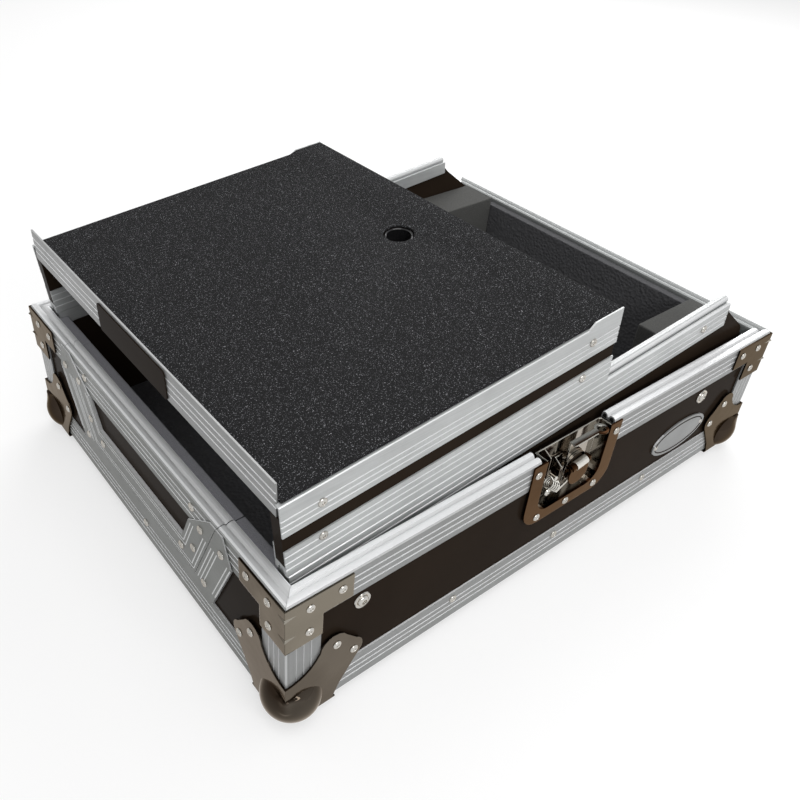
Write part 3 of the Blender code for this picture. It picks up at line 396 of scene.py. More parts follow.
dress([f"rim_{s}_{e}" for s in sides for e in ("front", "rear")], rimX)
dress([f"bottom_angle_{s}" for s in sides], rimX)
dress([f"{p}_{s}" for p in ("fixed_rail", "slider", "shelf_angle") for s in sides], railX)
dress(["rim_rear"], rearRimY)
dress(["rim_front_right", "rim_front_left", "bottom_angle_front", "bottom_angle_rear"], rimY)
dress(["door_rim", "door_frame", "front_opening_frame"], rimY)
dress(["shelf_lip"], lipY)
dress([f"corner_angle_{c}" for c in corners], angleZ)
# painted shade: the braces and balls of the other three corners get the darker copy
dress([f"{p}_{c}" for p in ("corner_brace", "ball_corner") for c in corners[1:]], shadedSteel)
dress(["corner_brace_front_right"], foldedSteel)
dress(["ball_corner_front_right"], steel)
dress([f"latch_{p}_{s}" for p in ("dish", "rotor", "flap", "hook") for s in sides], latchSteel)
dress([f"{p}_panel" for p in ("base", "right", "left", "front", "rear", "door")], laminateLook)
dress([f"{p}_{s}" for p in ("rail_board", "shelf_wall") for s in sides], laminateLook)
dress(["shelf_board"], laminateLook)
dress(["name_plate"], plateLook)
dress(["cable_grommet"], rubber)
dress(["oval_badge"], badgeLook)
print("CAD pieces dressed")


def makeObject(name, mesh, look, body, smooth=40):
    # faces that meet at less than smooth, in degrees, are shaded as one
    mesh.materials.append(look)
    mesh.shade_smooth()
    mesh.set_sharp_from_angle(angle=math.radians(smooth))
    made = bpy.data.objects.new(name, mesh)
    bpy.context.scene.collection.objects.link(made)
    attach(made, body)
    return made


def meshFrom(build, name):
    bmesh.ops.recalc_face_normals(build, faces=build.faces)
    mesh = bpy.data.meshes.new(name)
    build.to_mesh(mesh)
    build.free()
    return mesh


def prism(build, outline, place, start, end):
    # an outline in mm, swept from start to end along the third axis; place turns it to the world
    low = [build.verts.new(place @ Vector((a * mm, b * mm, start * mm))) for a, b in outline]
    high = [build.verts.new(place @ Vector((a * mm, b * mm, end * mm))) for a, b in outline]
    build.faces.new(low)
    build.faces.new(high)
    for i in range(len(outline)):
        j = (i + 1) % len(outline)
        build.faces.new((low[i], low[j], high[j], high[i]))


def around(steps, count=None):
    # the angles of that many steps round a circle, or of count steps of that size
    return [2 * math.pi * i / steps for i in range(count or steps)]


def roundEdges(piece, width, segments=3, sharper=35):
    # width in mm; only edges sharper than that many degrees
    bevel = piece.modifiers.new("soft edges", "BEVEL")
    bevel.width = width * mm
    bevel.segments = segments
    bevel.limit_method = "ANGLE"
    bevel.angle_limit = math.radians(sharper)
    graph = bpy.context.evaluated_depsgraph_get()
    mesh = bpy.data.meshes.new_from_object(piece.evaluated_get(graph), depsgraph=graph)
    piece.modifiers.clear()
    piece.data = mesh


shelfFoam = {
    "start": 14.8,  # along the slope, from the case's front plane
    "end": 291.7,
    "half": 173.1,
    "under": 60.0,  # square to the slope, above the rail seam
    "thick": 1.8,
    "step": 1.8,  # the strip along the rear edge stands this much higher
    "stepLength": 28.0,
    "ramp": 7.0,
    "hole": (241.5, 12.1),  # centre along the slope, radius
    "holeSteps": 64,
    "soft": 0.7,
}


def shelfPad():
    f = shelfFoam
    top = f["under"] + f["thick"]
    back = f["end"] - f["stepLength"]
    outline = [
        (f["start"], f["under"]),
        (f["end"], f["under"]),
        (f["end"], top + f["step"]),
        (back, top + f["step"]),
        (back - f["ramp"], top),
        (f["start"], top),
    ]
    build = bmesh.new()
    prism(build, outline, slopeFrame @ Matrix.Rotation(math.pi / 2, 4, "X"), -f["half"], f["half"])
    mesh = meshFrom(build, "shelf_foam_pad")
    pad = makeObject("shelf_foam_pad", mesh, padFoam, "laptop_shelf", 20)

    # the cable hole, drilled from 5 mm under the pad to 5 mm over it
    middle, radius = f["hole"]
    ring = around(f["holeSteps"])
    ring = [(middle + radius * math.cos(a), radius * math.sin(a)) for a in ring]
    build = bmesh.new()
    prism(build, ring, slopeFrame, f["under"] - 5, top + 5)
    cutter = bpy.data.objects.new("hole", meshFrom(build, "hole"))
    bpy.context.scene.collection.objects.link(cutter)
    bore = pad.modifiers.new("hole", "BOOLEAN")
    bore.operation, bore.solver, bore.object = "DIFFERENCE", "EXACT", cutter
    roundEdges(pad, f["soft"])
    bpy.data.objects.remove(cutter, do_unlink=True)
    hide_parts("shelf_pad")


tub = {
    "inside": 12.3,  # inner face of the walls, from the case's outer planes
    "foam": 8.0,
    "floor": -107.7,  # under the floor foam, from the rim's top
    "floorFoam": 10.0,
    "top": -4.0,
    "boards": 28.6,  # inner face of the rail boards, from the sides
    "doorHalf": 118.0,  # half the door's width at the rim, and how it narrows downwards
    "doorSlope": 0.475,
    "doorDepth": 77.0,
    "clear": 0.5,  # round the door
    "soft": 0.8,  # how far the cut edges are rounded
    "doorSoft": 0.9,
    "blockSoft": 1.2,
}
# outlines in (y, z) from the middle and the rim's top, swept along x from the front plane
tubPlace = Matrix.Translation((outerFront, 0.0, rimTop)) @ alongX


def doorHalf(z, clear=0.0):
    # half the door's width at height z, with clear mm square to its edge
    lean = math.hypot(1.0, tub["doorSlope"])
    return tub["doorHalf"] + tub["doorSlope"] * z + clear * lean


def trayFoam():
    t = tub
    half = width / 2 - t["boards"]
    top, floorTop = t["top"], t["floor"] + t["floorFoam"]
    sill = -t["doorDepth"] - t["clear"]
    near, far = t["inside"], length - t["inside"]
    wall = [(-half, floorTop), (half, floorTop), (half, top), (doorHalf(top), top)]
    wall += [(doorHalf(sill), sill), (-doorHalf(sill), sill), (-doorHalf(top), top), (-half, top)]
    rear = [(-half, floorTop), (half, floorTop), (half, top), (-half, top)]
    floor = [(-half, t["floor"]), (half, t["floor"]), (half, floorTop), (-half, floorTop)]
    build = bmesh.new()
    prism(build, wall, tubPlace, near, near + t["foam"])
    prism(build, rear, tubPlace, far - t["foam"], far)
    prism(build, floor, tubPlace, near, far)
    mesh = meshFrom(build, "tray_foam_lining")
    lining = makeObject("tray_foam_lining", mesh, liningFoam, "tray")
    # the front wall's strip is cut from the door's grey sheet
    lining.data.materials.append(wallFoam)
    wallEnd = outerFront + (near + t["foam"] + 0.1) * mm
    for face in lining.data.polygons:
        if face.center.x < wallEnd:
            face.material_index = 1
    roundEdges(lining, t["soft"])
    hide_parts("tray_foam")


def doorFoam():
    t = tub
    top, low = t["top"], -t["doorDepth"] + t["clear"]
    halfTop, halfLow = doorHalf(top, -t["clear"]), doorHalf(low, -t["clear"])
    outline = [(-halfTop, top), (halfTop, top), (halfLow, low), (-halfLow, low)]
    build = bmesh.new()
    prism(build, outline, tubPlace, t["inside"], t["inside"] + t["foam"])
    mesh = meshFrom(build, "door_foam_lining")
    door = makeObject("door_foam_lining", mesh, wallFoam, "front_door")
    roundEdges(door, t["doorSoft"])
    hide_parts("door_foam")


def foamBlocks():
    for side in sides:
        node = f"foam_block_{side}"
        name = f"cut_foam_block_{side}"
        low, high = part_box(node)
        size = [b - a for a, b in zip(low, high)]
        middle = [(a + b) / 2 for a, b in zip(low, high)]
        build = bmesh.new()
        cube = bmesh.ops.create_cube(build, size=1.0)["verts"]
        fit = Matrix.Translation(middle) @ Matrix.Diagonal((*size, 1.0))
        bmesh.ops.transform(build, matrix=fit, verts=cube)
        block = makeObject(name, meshFrom(build, name), blockFoam, "tray")
        roundEdges(block, tub["blockSoft"])
        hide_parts(node)


shelfPad()
trayFoam()
doorFoam()
foamBlocks()
print("foam cut and laid")


def lathe(build, profile, steps, place):
    # turns (radius, height) points in mm about Z and stands them at place
    rings = []
    for radius, height in profile:
        turns = around(steps) if radius > 0 else [0.0]
        spots = [(radius * math.cos(a) * mm, radius * math.sin(a) * mm, height * mm) for a in turns]
        rings.append([build.verts.new(place @ Vector(spot)) for spot in spots])
    for lower, upper in zip(rings, rings[1:]):
        for i in range(steps):
            j = (i + 1) % steps
            if len(upper) == 1:
                build.faces.new((lower[i], lower[j], upper[0]))
            else:
                build.faces.new((lower[i], lower[j], upper[j], upper[i]))


def standOn(place, normal):
    # stands +Z along normal at place
    turn = Vector(normal).to_track_quat("Z", "Y").to_matrix().to_4x4()
    return Matrix.Translation(place) @ turn


def onSide(x, z, out):
    # spots in mm from the front plane and the rim's top, on both long sides
    right = Vector((outerFront + x * mm, outerRight - out * mm, rimTop + z * mm))
    return [(right, (0, -1, 0)), (halfTurn @ right, (0, 1, 0))]


def onRight(x, z, out):
    # the same on the right side only
    return onSide(x, z, out)[:1]


def onEnd(y, z, out):
    # spots in mm from the right side and the rim's top, mirrored to the left, on the front
    x, up = outerFront - out * mm, rimTop + z * mm
    return [((x, way * (width / 2 - y) * mm, up), (-1, 0, 0)) for way in (-1, 1)]


def bothEnds(front):
    # spots on the front, and the same ones turned round to the rear
    return front + [(halfTurn @ Vector(place), (1, 0, 0)) for place, _ in front]


def onMiddles(z, out):
    return bothEnds(onEnd(width / 2, z, out)[:1])


def onCorners(along, z, out):
    # spots at the same distance from all eight edges of the four corners
    long = onSide(along, z, out) + onSide(length - along, z, out)
    return long + bothEnds(onEnd(along, z, out))


def onSlope(s, h, y):
    # spots on the right side of the shelf or rails and their mirror on the left
    right = slopeFrame @ Vector((s * mm, outerRight + y * mm, h * mm))
    return [(right, (0, -1, 0)), (Vector((right.x, -right.y, right.z)), (0, 1, 0))]


rivet = {
    "head": 3.2,  # radius in mm
    "height": 1.3,
    "hole": 1.1,
    "steps": 24,
    # shares of the head's or the hole's radius and of the height
    "dome": [(0.93, -0.2), (1.0, 0.02), (0.99, 0.2), (0.92, 0.5), (0.76, 0.8), (0.55, 0.97)],
    "eye": [(1.25, 1.0), (1.05, 0.9), (0.95, 0.6), (0.6, 0.55), (0.3, 0.75), (0.0, 0.8)],
}
seat = {  # mm that the rivets' faces lie out of the aluminium's, and the slider's in from it
    "bare": 0.0,
    "plate": 1.5,
    "trim": 1.3,
    "badge": -0.3,
    "slider": 16.3,
}
rivetRows = {  # the body they ride, their size, and groups of where they sit
    "corner_brace_rivets": ("tray", 1.0, [
        (onCorners, "plate", [(39.5, -11.0), (16.4, -11.5), (16.0, -32.6)]),
    ]),
    "ball_corner_rivets": ("tray", 1.0, [(onCorners, "plate", [(37.5, -63.2), (51.6, -78.8)])]),
    "bottom_angle_rivets": ("tray", 1.0, [
        (onSide, "bare", [(143.0, -97.5), (250.0, -97.5), (361.0, -97.5)]),
        (onMiddles, "bare", [(-98.5,)]),
    ]),
    "front_opening_rivets": ("tray", 1.0, [(onEnd, "trim", [(69.5, -21.2), (97.0, -75.0)])]),
    "door_rivets": ("front_door", 1.0, [
        (onEnd, "trim", [(95.6, -21.5), (108.8, -50.5), (127.2, -64.0)]),
        (onEnd, "bare", [(107.5, -11.5)]),
    ]),
    "shelf_rivets": ("laptop_shelf", 1.0, [
        (onSlope, "slider", [(40.0, 45.5), (264.5, 47.0), (39.0, 18.0), (260.5, 18.0)]),
    ]),
    "rail_rivets": ("tray", 1.0, [(onSlope, "slider", [(412.0, -11.0)])]),
    "latch_rivets": ("tray", 1.0, [
        (onSide, "plate", [(208.3, -11.8), (292.5, -11.8)]),
        (onSide, "plate", [(218.3, -58.6), (250.0, -59.4), (281.7, -58.6)]),
    ]),
    "badge_rivets": ("tray", 0.7, [(onRight, "badge", [(368.2, -69.0), (431.8, -69.0)])]),
}


def rivets(name, body, scale, groups):
    r, h, m = rivet["head"] * scale, rivet["height"] * scale, rivet["hole"] * scale
    profile = [(r * a, h * b) for a, b in rivet["dome"]] + [(m * a, h * b) for a, b in rivet["eye"]]
    build = bmesh.new()
    for repeat, face, spots in groups:
        for spot in spots:
            for place, normal in repeat(*spot, seat[face]):
                lathe(build, profile, rivet["steps"], standOn(place, normal))
    makeObject(name, meshFrom(build, name), rivetSteel, body, 50)


bolt = {
    "washer": 6.4,  # radius in mm
    "thick": 1.4,
    "head": 4.1,
    "rise": 2.8,
    "steps": 32,
    "at": [(57.6, -36.8), (418.0, -36.7)],
    "sink": 1.5,  # the boards' face, in from the aluminium's
}


def boardBolts():
    w, t, h, rise = bolt["washer"], bolt["thick"], bolt["head"], bolt["rise"]
    cup = [(w * 0.95, -0.3), (w, t * 0.3), (w * 0.93, t * 0.9), (w * 0.82, t)]
    cup += [(h * 1.08, t * 0.65), (h * 1.02, t * 0.6), (h, t * 0.95), (h * 0.93, rise * 0.72)]
    cup += [(h * 0.72, rise * 0.93), (h * 0.45, rise), (h * 0.4, rise * 0.7)]
    cup += [(h * 0.2, rise * 0.62), (0.0, rise * 0.66)]
    build = bmesh.new()
    for spot in bolt["at"]:
        for place, normal in onSide(*spot, -bolt["sink"]):
            lathe(build, cup, bolt["steps"], standOn(place, normal))
    mesh = meshFrom(build, "rail_board_bolts")
    makeObject("rail_board_bolts", mesh, rivetSteel, "tray", 50)


for name, row in rivetRows.items():
    rivets(name, *row)
boardBolts()
print("rivets and bolts set")


def atCorner(corner, spot, base=0.0):
    # where a spot lies that is measured in mm, in from the corner's two faces and up from base
    x, y, z = spot
    front, right = "front" in corner, "right" in corner
    start = (outerFront if front else outerRear, outerRight if right else outerLeft, base)
    return Vector(start) + Vector((x if front else -x, y if right else -y, z)) * mm


ballCorner = {
    "inset": 12.3,  # centre of the ball, in from both faces and up from the ground
    "up": 20.5,
    "radius": 20.65,
    "plate": 1.5,
    "melt": 38.5,  # the fold between the cheeks melts into the ball below this height
    "bow": 0.3,  # and this much lower for each mm away from the fold
    "fade": 5.0,
    "wide": 17.0,  # and it runs this far out along the cheeks, and down to this height
    "low": 19.0,
    "swell": 2.2,
    "sink": 2.5,
    "round": 6.0,
    "ease": 3.0,  # how softly ball and cheeks run together
    "skim": 0.05,  # a way that is flatter to a cheek than this never meets it
    "never": 90.0,
    "most": 40.0,
    "ground": 0.05,
    "trim": 0.4,  # what lies deeper inside the case than this is left out
    "rows": 60,
    "columns": 84,
    "leans": (-80, 52),  # degrees from level, of the lowest and the highest row
    "turns": (225, 150),  # the way the corner faces, and how far round each way
}


def ballReach(way):
    # how far the pressed surface lies from the ball's centre, where ball and cheeks run together
    b = ballCorner
    toPlate = [(b["inset"] + b["plate"]) / -w if w < -b["skim"] else b["never"] for w in way[:2]]
    reach = min(toPlate)
    spot = [b["inset"] + reach * way[0], b["inset"] + reach * way[1], b["up"] + reach * way[2]]
    off = math.hypot(spot[0] + b["plate"], spot[1] + b["plate"])
    share = min(max((b["melt"] - spot[2] - b["bow"] * off) / b["fade"], 0.0), 1.0)
    share = share * share * (3 - 2 * share)
    for room in ((b["wide"] - off) / b["fade"], (spot[2] - b["low"]) / b["fade"]):
        share *= min(max(room, 0.0), 1.0)
    meet = max(b["round"] - abs(toPlate[0] - toPlate[1]), 0.0) / b["round"]
    cheek = reach - meet * meet * b["round"] / 4 + b["swell"] * share - b["sink"] * (1 - share)
    join = max(b["ease"] - abs(cheek - b["radius"]), 0.0) / b["ease"]
    cheek = min(cheek, b["most"]) if share > 0 else 0.0
    return max(cheek, b["radius"]) + join * join * b["ease"] / 4 * share


def ballCorners():
    b = ballCorner
    rows, columns = b["rows"], b["columns"]
    low, high = (math.radians(lean) for lean in b["leans"])
    facing, spread = b["turns"]
    middle = Vector((b["inset"], b["inset"], b["up"]))
    for corner in corners:
        build = bmesh.new()
        grid = []
        for i in range(rows + 1):
            lean = low + (high - low) * i / rows
            row = []
            for j in range(columns + 1):
                turn = math.radians(facing + spread * (2 * j / columns - 1))
                level = math.cos(lean)
                way = Vector((level * math.cos(turn), level * math.sin(turn), math.sin(lean)))
                spot = middle + way * ballReach(way)
                spot.z = max(spot.z, b["ground"])
                row.append((build.verts.new(atCorner(corner, spot)), spot))
            grid.append(row)
        for i in range(rows):
            for j in range(columns):
                four = [grid[i][j], grid[i][j + 1], grid[i + 1][j + 1], grid[i + 1][j]]
                if any(min(s.x, s.y) < b["trim"] for _, s in four):
                    build.faces.new([v for v, _ in four])
        loose = [v for v in build.verts if not v.link_faces]
        bmesh.ops.delete(build, geom=loose, context="VERTS")
        name = f"ball_skin_{corner}"
        # painted shade: corners other than the front right get the darker copy
        look = steel if corner == "front_right" else shadedSteel
        makeObject(name, meshFrom(build, name), look, "tray", 60)


def wire(build, path, radius, steps=10):
    # a round wire along points in mm, with closed ends
    path = [Vector(spot) for spot in path]
    rings = []
    for i, here in enumerate(path):
        ahead = path[min(i + 1, len(path) - 1)] - path[max(i - 1, 0)]
        turn = ahead.to_track_quat("Z", "Y").to_matrix()
        ring = [Vector((radius * math.cos(a), radius * math.sin(a), 0)) for a in around(steps)]
        rings.append([build.verts.new((here + turn @ spot) * mm) for spot in ring])
    for one, two in zip(rings, rings[1:]):
        for i in range(steps):
            j = (i + 1) % steps
            build.faces.new((one[i], one[j], two[j], two[i]))
    build.faces.new(rings[0])
    build.faces.new(rings[-1])


def rounded(points, radius, steps=5):
    # the same path with its inner corners rounded off
    path = [Vector(points[0])]
    for before, here, after in zip(points, points[1:], points[2:]):
        before, here, after = Vector(before), Vector(here), Vector(after)
        start = here + (before - here).normalized() * radius
        end = here + (after - here).normalized() * radius
        for k in range(steps + 1):
            t = k / steps
            path.append(start * (1 - t) ** 2 + here * 2 * t * (1 - t) + end * t * t)
    return path + [Vector(points[-1])]


def coil(build, start, end, radius, thick, turns, steps=20):
    # a round spring of wire, from start to end
    along = end - start
    turn = along.to_track_quat("Z", "Y").to_matrix()
    path = []
    for k, a in enumerate(around(steps, turns * steps + 1)):
        ring = turn @ Vector((radius * math.cos(a), radius * math.sin(a), 0))
        path.append(start + ring + along * k / (turns * steps))
    wire(build, path, thick, 8)


# the long sides' own axes: x from the front plane, y in from the side, z from the rim's top
rightPlace = Matrix.Translation((outerFront, outerRight, rimTop))
sidePlace = {"right": rightPlace, "left": halfTurn @ rightPlace}

latchParts = {  # in mm
    "bead": [(215.5, -0.6, -2.7), (215.5, 9.8, -2.7), (284.5, 9.8, -2.7), (284.5, -0.6, -2.7)],
    "beadBend": 3.4,
    "beadRadius": 0.5,
    "springAt": (226.8, 3.2, -31.2),
    "springEnd": (237.5, 3.2, -40.6),
    "springRadius": 4.6,
    "springWire": 0.75,
    "springTurns": 4,
    "lever": [(258.6, -36.6), (259.6, -38.6), (240.4, -48.8), (239.2, -46.8)],
    "leverAt": 1.4,
    "leverThick": 1.2,
    "pins": [  # where the pin stands, and (radius, height) points
        (
            (227.4, 1.2, -40.2),
            [(3.0, -2.2), (3.0, 0.6), (2.5, 1.2), (1.3, 1.5), (1.1, 1.0), (0.0, 0.9)],
        ),
        ((234.4, 1.4, -30.4), [(2.0, -5.0), (2.0, 0.4), (1.5, 0.9), (0.0, 1.1)]),
    ],
    "pinSteps": 20,
    "plates": [  # the outline, the way that it is swept, from and to
        ([(9.7, -4.6), (2.8, -8.2), (2.8, -27.0), (9.7, -27.0)], alongX, 224.4, 225.3),
        ([(9.2, -17.9), (2.0, -22.3), (1.6, -37.5), (9.2, -31.0)], alongX, 238.0, 239.0),
        ([(238.0, -17.9), (246.4, -17.9), (246.4, -24.0), (238.0, -31.0)], alongY, 8.0, 9.0),
    ],
    "plateEdgeHighlights": [  # painted highlights, bright wires on the plates' edges: the two ends and the radius
        ((225.0, 9.6, -4.4), (225.0, 2.8, -8.0), 0.45),
        ((246.0, 8.5, -17.7), (238.5, 8.5, -17.7), 0.4),
        ((238.5, 8.6, -17.8), (238.5, 2.0, -22.1), 0.5),
    ],
    # painted highlight, bright wires on the hook's edges, in the same columns
    "hookEdgeHighlights": [
        ((246.6, -0.1, -5.2), (271.5, -0.1, -5.2), 0.55),
        ((246.2, 5.2, -4.6), (246.2, -0.1, -5.2), 0.5),
    ],
    "knuckleAt": (255.2, -1.9, -23.4),  # on the flap's hinge line, so that it turns in place
    "hinge": (0.987688, 0.0, 0.156434),
    "knuckleLength": 11.5,
    "knuckleRadius": 3.4,
    "knuckleSteps": 24,
}


def latchSet(name, build, look, body, side):
    bmesh.ops.transform(build, matrix=sidePlace[side], verts=build.verts)
    name = f"{name}_{side}"
    makeObject(name, meshFrom(build, name), look, body, 35)


def latchDetails():
    p = latchParts
    for side in sides:
        build = bmesh.new()
        wire(build, rounded(p["bead"], p["beadBend"]), p["beadRadius"])
        ends = Vector(p["springAt"]), Vector(p["springEnd"])
        coil(build, *ends, p["springRadius"], p["springWire"], p["springTurns"])
        prism(build, p["lever"], alongY, p["leverAt"], p["leverAt"] + p["leverThick"])
        for spot, profile in p["pins"]:
            outward = Matrix.Rotation(math.pi / 2, 4, "X")
            outward = Matrix.Translation(Vector(spot) * mm) @ outward
            lathe(build, profile, p["pinSteps"], outward)
        latchSet("latch_bright_parts", build, brightSteel, "tray", side)

        build = bmesh.new()
        for outline, sweep, start, end in p["plates"]:
            prism(build, outline, sweep, start, end)
        latchSet("latch_inner_plates", build, steel, "tray", side)

        # bright wires on the edges of the plates and the hook are painted highlights
        build = bmesh.new()
        for start, end, radius in p["plateEdgeHighlights"]:
            wire(build, (start, end), radius)
        latchSet("latch_plate_edge_highlights", build, brightSteel, "tray", side)

        build = bmesh.new()
        for start, end, radius in p["hookEdgeHighlights"]:
            wire(build, (start, end), radius)
        latchSet("latch_hook_edge_highlight", build, brightSteel, f"{side}_latch_hook", side)

        build = bmesh.new()
        middle, along = Vector(p["knuckleAt"]), Vector(p["hinge"]) * p["knuckleLength"] / 2
        wire(build, (middle - along, middle + along), p["knuckleRadius"], p["knuckleSteps"])
        latchSet("latch_flap_knuckle", build, paleSteel, f"{side}_latch_flap", side)


dart = {
    "at": (-10.5, -29.0),  # heights from the rim's top
    "reach": 6.5,  # along each face, from the case's corner
    "half": 2.0,
    "fold": (-1.15, -1.15),  # the fold's own surface at the corner
    "rise": (-2.6, -2.6),
}


def braceDarts():
    # short ribs pressed across the fold of each brace, to stiffen it
    build = bmesh.new()
    reach, half, face = dart["reach"], dart["half"], -seat["plate"]
    for corner in corners:
        for z in dart["at"]:
            ends = [(reach, face, z), (face, reach, z)]
            fold = [(*dart["fold"], z + half), (*dart["fold"], z - half), (*dart["rise"], z)]
            made = [build.verts.new(atCorner(corner, spot, rimTop)) for spot in ends + fold]
            one, two, top, low, peak = made
            for three in ((one, top, peak), (one, peak, low), (two, peak, top), (two, low, peak)):
                build.faces.new(three)
    mesh = meshFrom(build, "corner_brace_darts")
    makeObject("corner_brace_darts", mesh, dartSteel, "tray", 20)


strip = {
    "face": 1.15,  # the strips' face, out from the front plane
    "proud": 1.55,
    "rib": 1.5,
    "top": -26.6,
    "frameLow": -76.0,
    "doorLow": -76.5,
    "frameLines": (3.0, 6.2, 9.4, 20.6, 23.8),  # from the seam, square to it
    "doorLines": (3.0, 6.2, 18.0, 21.2),
}


def rib(build, start, end):
    # a low three-cornered rib between two (y, z) in mm, from the middle and the rim's top
    start, end = Vector(start), Vector(end)
    run = (end - start).normalized()
    aside = Vector((-run.y, run.x)) * strip["rib"] / 2
    rows = []
    face, proud = strip["face"], strip["proud"]
    for spot in (start, end):
        section = (spot + aside, face), (spot, proud), (spot - aside, face)
        section = [(outerFront - out * mm, y * mm, rimTop + z * mm) for (y, z), out in section]
        rows.append([build.verts.new(place) for place in section])
    (a, b, c), (d, e, f) = rows
    for flat in ((a, b, e, d), (b, c, f, e), (a, c, b), (d, e, f)):
        build.faces.new(flat)


def stripRibs():
    # the pressed lines of the strips that frame the opening and the door
    top = strip["top"]
    build = bmesh.new()
    for across in strip["frameLines"]:
        for way in (-1, 1):
            low = strip["frameLow"]
            rib(build, (way * doorHalf(top, across), top), (way * doorHalf(low, across), low))
    mesh = meshFrom(build, "front_opening_ribs")
    makeObject("front_opening_ribs", mesh, rimY, "tray", 10)
    build = bmesh.new()
    for across in strip["doorLines"]:
        low = strip["doorLow"] + across
        for way in (-1, 1):
            rib(build, (way * doorHalf(top, -across), top), (way * doorHalf(low, -across), low))
        rib(build, (-doorHalf(low, -across), low), (doorHalf(low, -across), low))
    mesh = meshFrom(build, "front_door_ribs")
    makeObject("front_door_ribs", mesh, rimY, "front_door", 10)


badge = {"middle": (400, 0.05, -68.95), "along": 32.6, "up": 12.6, "line": 0.5, "steps": 64}


def badgeRing():
    x, y, z = badge["middle"]
    along, up, steps = badge["along"], badge["up"], badge["steps"]
    turns = around(steps, steps + 1)
    path = [(x + along * math.cos(a), y, z + up * math.sin(a)) for a in turns]
    build = bmesh.new()
    wire(build, path, badge["line"], 8)
    bmesh.ops.transform(build, matrix=sidePlace["right"], verts=build.verts)
    mesh = meshFrom(build, "oval_badge_line")
    makeObject("oval_badge_line", mesh, plateLook, "tray", 50)


hollow = {
    "at": 210.5,  # the cut, from the front plane
    "sink": 0.3,  # how far the dark plug of painted shade reaches into the rim, and its thickness
    "thick": 0.5,
    "shapes": [  # (y, z) from the case's side and the rim's top
        [(1.4, -4.6), (1.4, -2.4), (2.2, -1.3), (3.6, -1.3), (4.4, -2.4), (4.8, -4.6)],
        [(7.6, -4.6), (8.0, -2.4), (8.7, -1.2), (9.9, -1.2), (10.7, -2.4), (10.8, -4.6)],
        [(1.4, -5.2), (10.8, -5.2), (10.8, -6.9), (1.4, -6.9)],
    ],
}


def rimHollows():
    # the rim's cut ends show a thin wall round a hollow, whose shade is painted on dark plugs
    build = bmesh.new()
    for side in sides:
        for cut, out in ((hollow["at"], 1), (length - hollow["at"], -1)):
            inner = cut - out * hollow["sink"]
            low, high = sorted((inner, inner + out * hollow["thick"]))
            for outline in hollow["shapes"]:
                prism(build, outline, sidePlace[side] @ alongX, low, high)
    mesh = meshFrom(build, "rim_end_painted_shade")
    makeObject("rim_end_painted_shade", mesh, hollowShadeLook, "tray", 20)


ballCorners()
latchDetails()
braceDarts()
rimHollows()
stripRibs()
badgeRing()
print("ball corners and latches filled in")

light = {
    "world": 0.45,  # what the world adds to matt surfaces; it shows as plain white
    "zenith": 0.42,
    "paper": "#b3b3b3",  # how much light the floor gives back; the glow brings it up to white
    "floorGlow": 0.58,
    "floorHalf": 12.0,  # m
    "aim": (0, 0, 0.1),
    "lamps": [  # name, place in m, size in m, watts
        ("overhead_softbox", (-0.2, -0.4, 1.6), (1.0, 1.0), 8.0),
        ("rear_softbox", (1.3, 1.0, 1.25), (1.6, 1.0), 20.0),
        ("side_strip", (-0.3, -1.45, 1.1), (1.2, 0.3), 9.0),
    ],
}
white = hexColour("#ffffff")


def seenRays(tree):
    # 1 for what the camera, a reflection or a clear piece sees, 0 for what lights the case
    rays = addNode(tree, "LightPath")
    seen = {0: rays.outputs["Is Camera Ray"], 1: rays.outputs["Is Glossy Ray"]}
    seen = addNode(tree, "Math", {"operation": "ADD"}, seen)
    seen = {0: seen.outputs[0], 1: rays.outputs["Is Transmission Ray"]}
    return addNode(tree, "Math", {"operation": "ADD", "use_clamp": True}, seen).outputs[0]


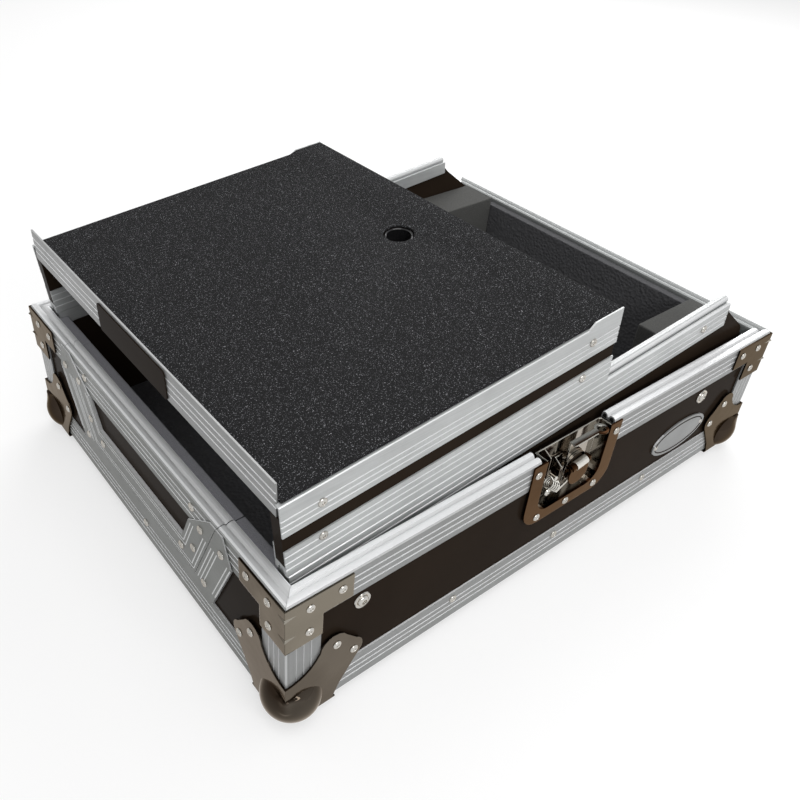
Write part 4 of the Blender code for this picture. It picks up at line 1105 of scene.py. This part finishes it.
def studioFloor():
    # white to the camera and in reflections, and a plain matt sheet for light and shadow
    made, tree, shader = newMaterial("white studio paper")
    tree.nodes.remove(shader)
    glow = {"operation": "MULTIPLY", 1: light["floorGlow"]}
    glow = addNode(tree, "Math", glow, {0: seenRays(tree)})
    paper = addNode(tree, "BsdfDiffuse", {"Color": hexColour(light["paper"])})
    glow = addNode(tree, "Emission", {"Color": white}, {"Strength": glow.outputs[0]})
    both = addNode(tree, "AddShader", None, {0: paper.outputs[0], 1: glow.outputs[0]})
    tree.links.new(both.outputs[0], tree.nodes["Material Output"].inputs["Surface"])
    half = light["floorHalf"]
    square = [(-half, -half, 0), (half, -half, 0), (half, half, 0), (-half, half, 0)]
    floor = bpy.data.meshes.new("studio_floor")
    floor.from_pydata(square, [], [(0, 1, 2, 3)])
    floor.materials.append(made)
    sheet = bpy.data.objects.new("studio_floor", floor)
    bpy.context.scene.collection.objects.link(sheet)


def studioWorld():
    # white round the horizon, where matt metal finds it, and greyer overhead
    world = bpy.context.scene.world or bpy.data.worlds.new("studio")
    bpy.context.scene.world = world
    world.use_nodes = True
    tree = world.node_tree
    tree.nodes.clear()
    way = addNode(tree, "TexCoord").outputs["Generated"]
    way = addNode(tree, "SeparateXYZ", None, {0: way})
    fall = {"From Min": 0.45, "From Max": 0.95, "To Min": 1.0, "To Max": light["zenith"]}
    sky = addNode(tree, "MapRange", fall, {"Value": way.outputs["Z"]})
    level = {"Value": seenRays(tree), "To Max": sky.outputs[0]}
    level = addNode(tree, "MapRange", {"To Min": light["world"]}, level)
    back = addNode(tree, "Background", {"Color": white}, {"Strength": level.outputs[0]})
    addNode(tree, "OutputWorld", None, {"Surface": back.outputs[0]})


def studioLamps():
    for name, place, size, power in light["lamps"]:
        area = bpy.data.lights.new(name, "AREA")
        area.shape = "RECTANGLE"
        area.size, area.size_y = size
        area.energy = power
        lamp = bpy.data.objects.new(name, area)
        lamp.location = place
        aim = Vector(light["aim"]) - Vector(place)
        lamp.rotation_euler = aim.to_track_quat("-Z", "Y").to_euler()
        bpy.context.scene.collection.objects.link(lamp)


camera = {
    "place": (-0.409347, -0.428658, 0.499841),
    "turn": (52.16333, -2.25262, -37.10220),
    "lens": 36.95624,
    "shift": (0.073243, -0.008786),
}


def viewpoint():
    lens = bpy.data.cameras.new("camera")
    lens.sensor_width = 36.0
    lens.sensor_fit = "HORIZONTAL"
    lens.lens = camera["lens"]
    lens.shift_x, lens.shift_y = camera["shift"]
    lens.clip_start = 0.01
    made = bpy.data.objects.new("camera", lens)
    made.location = camera["place"]
    made.rotation_euler = [math.radians(a) for a in camera["turn"]]
    bpy.context.scene.collection.objects.link(made)
    bpy.context.scene.camera = made


studioFloor()
studioWorld()
studioLamps()
viewpoint()
bpy.context.scene.view_settings.view_transform = "Standard"
print("studio and camera set")
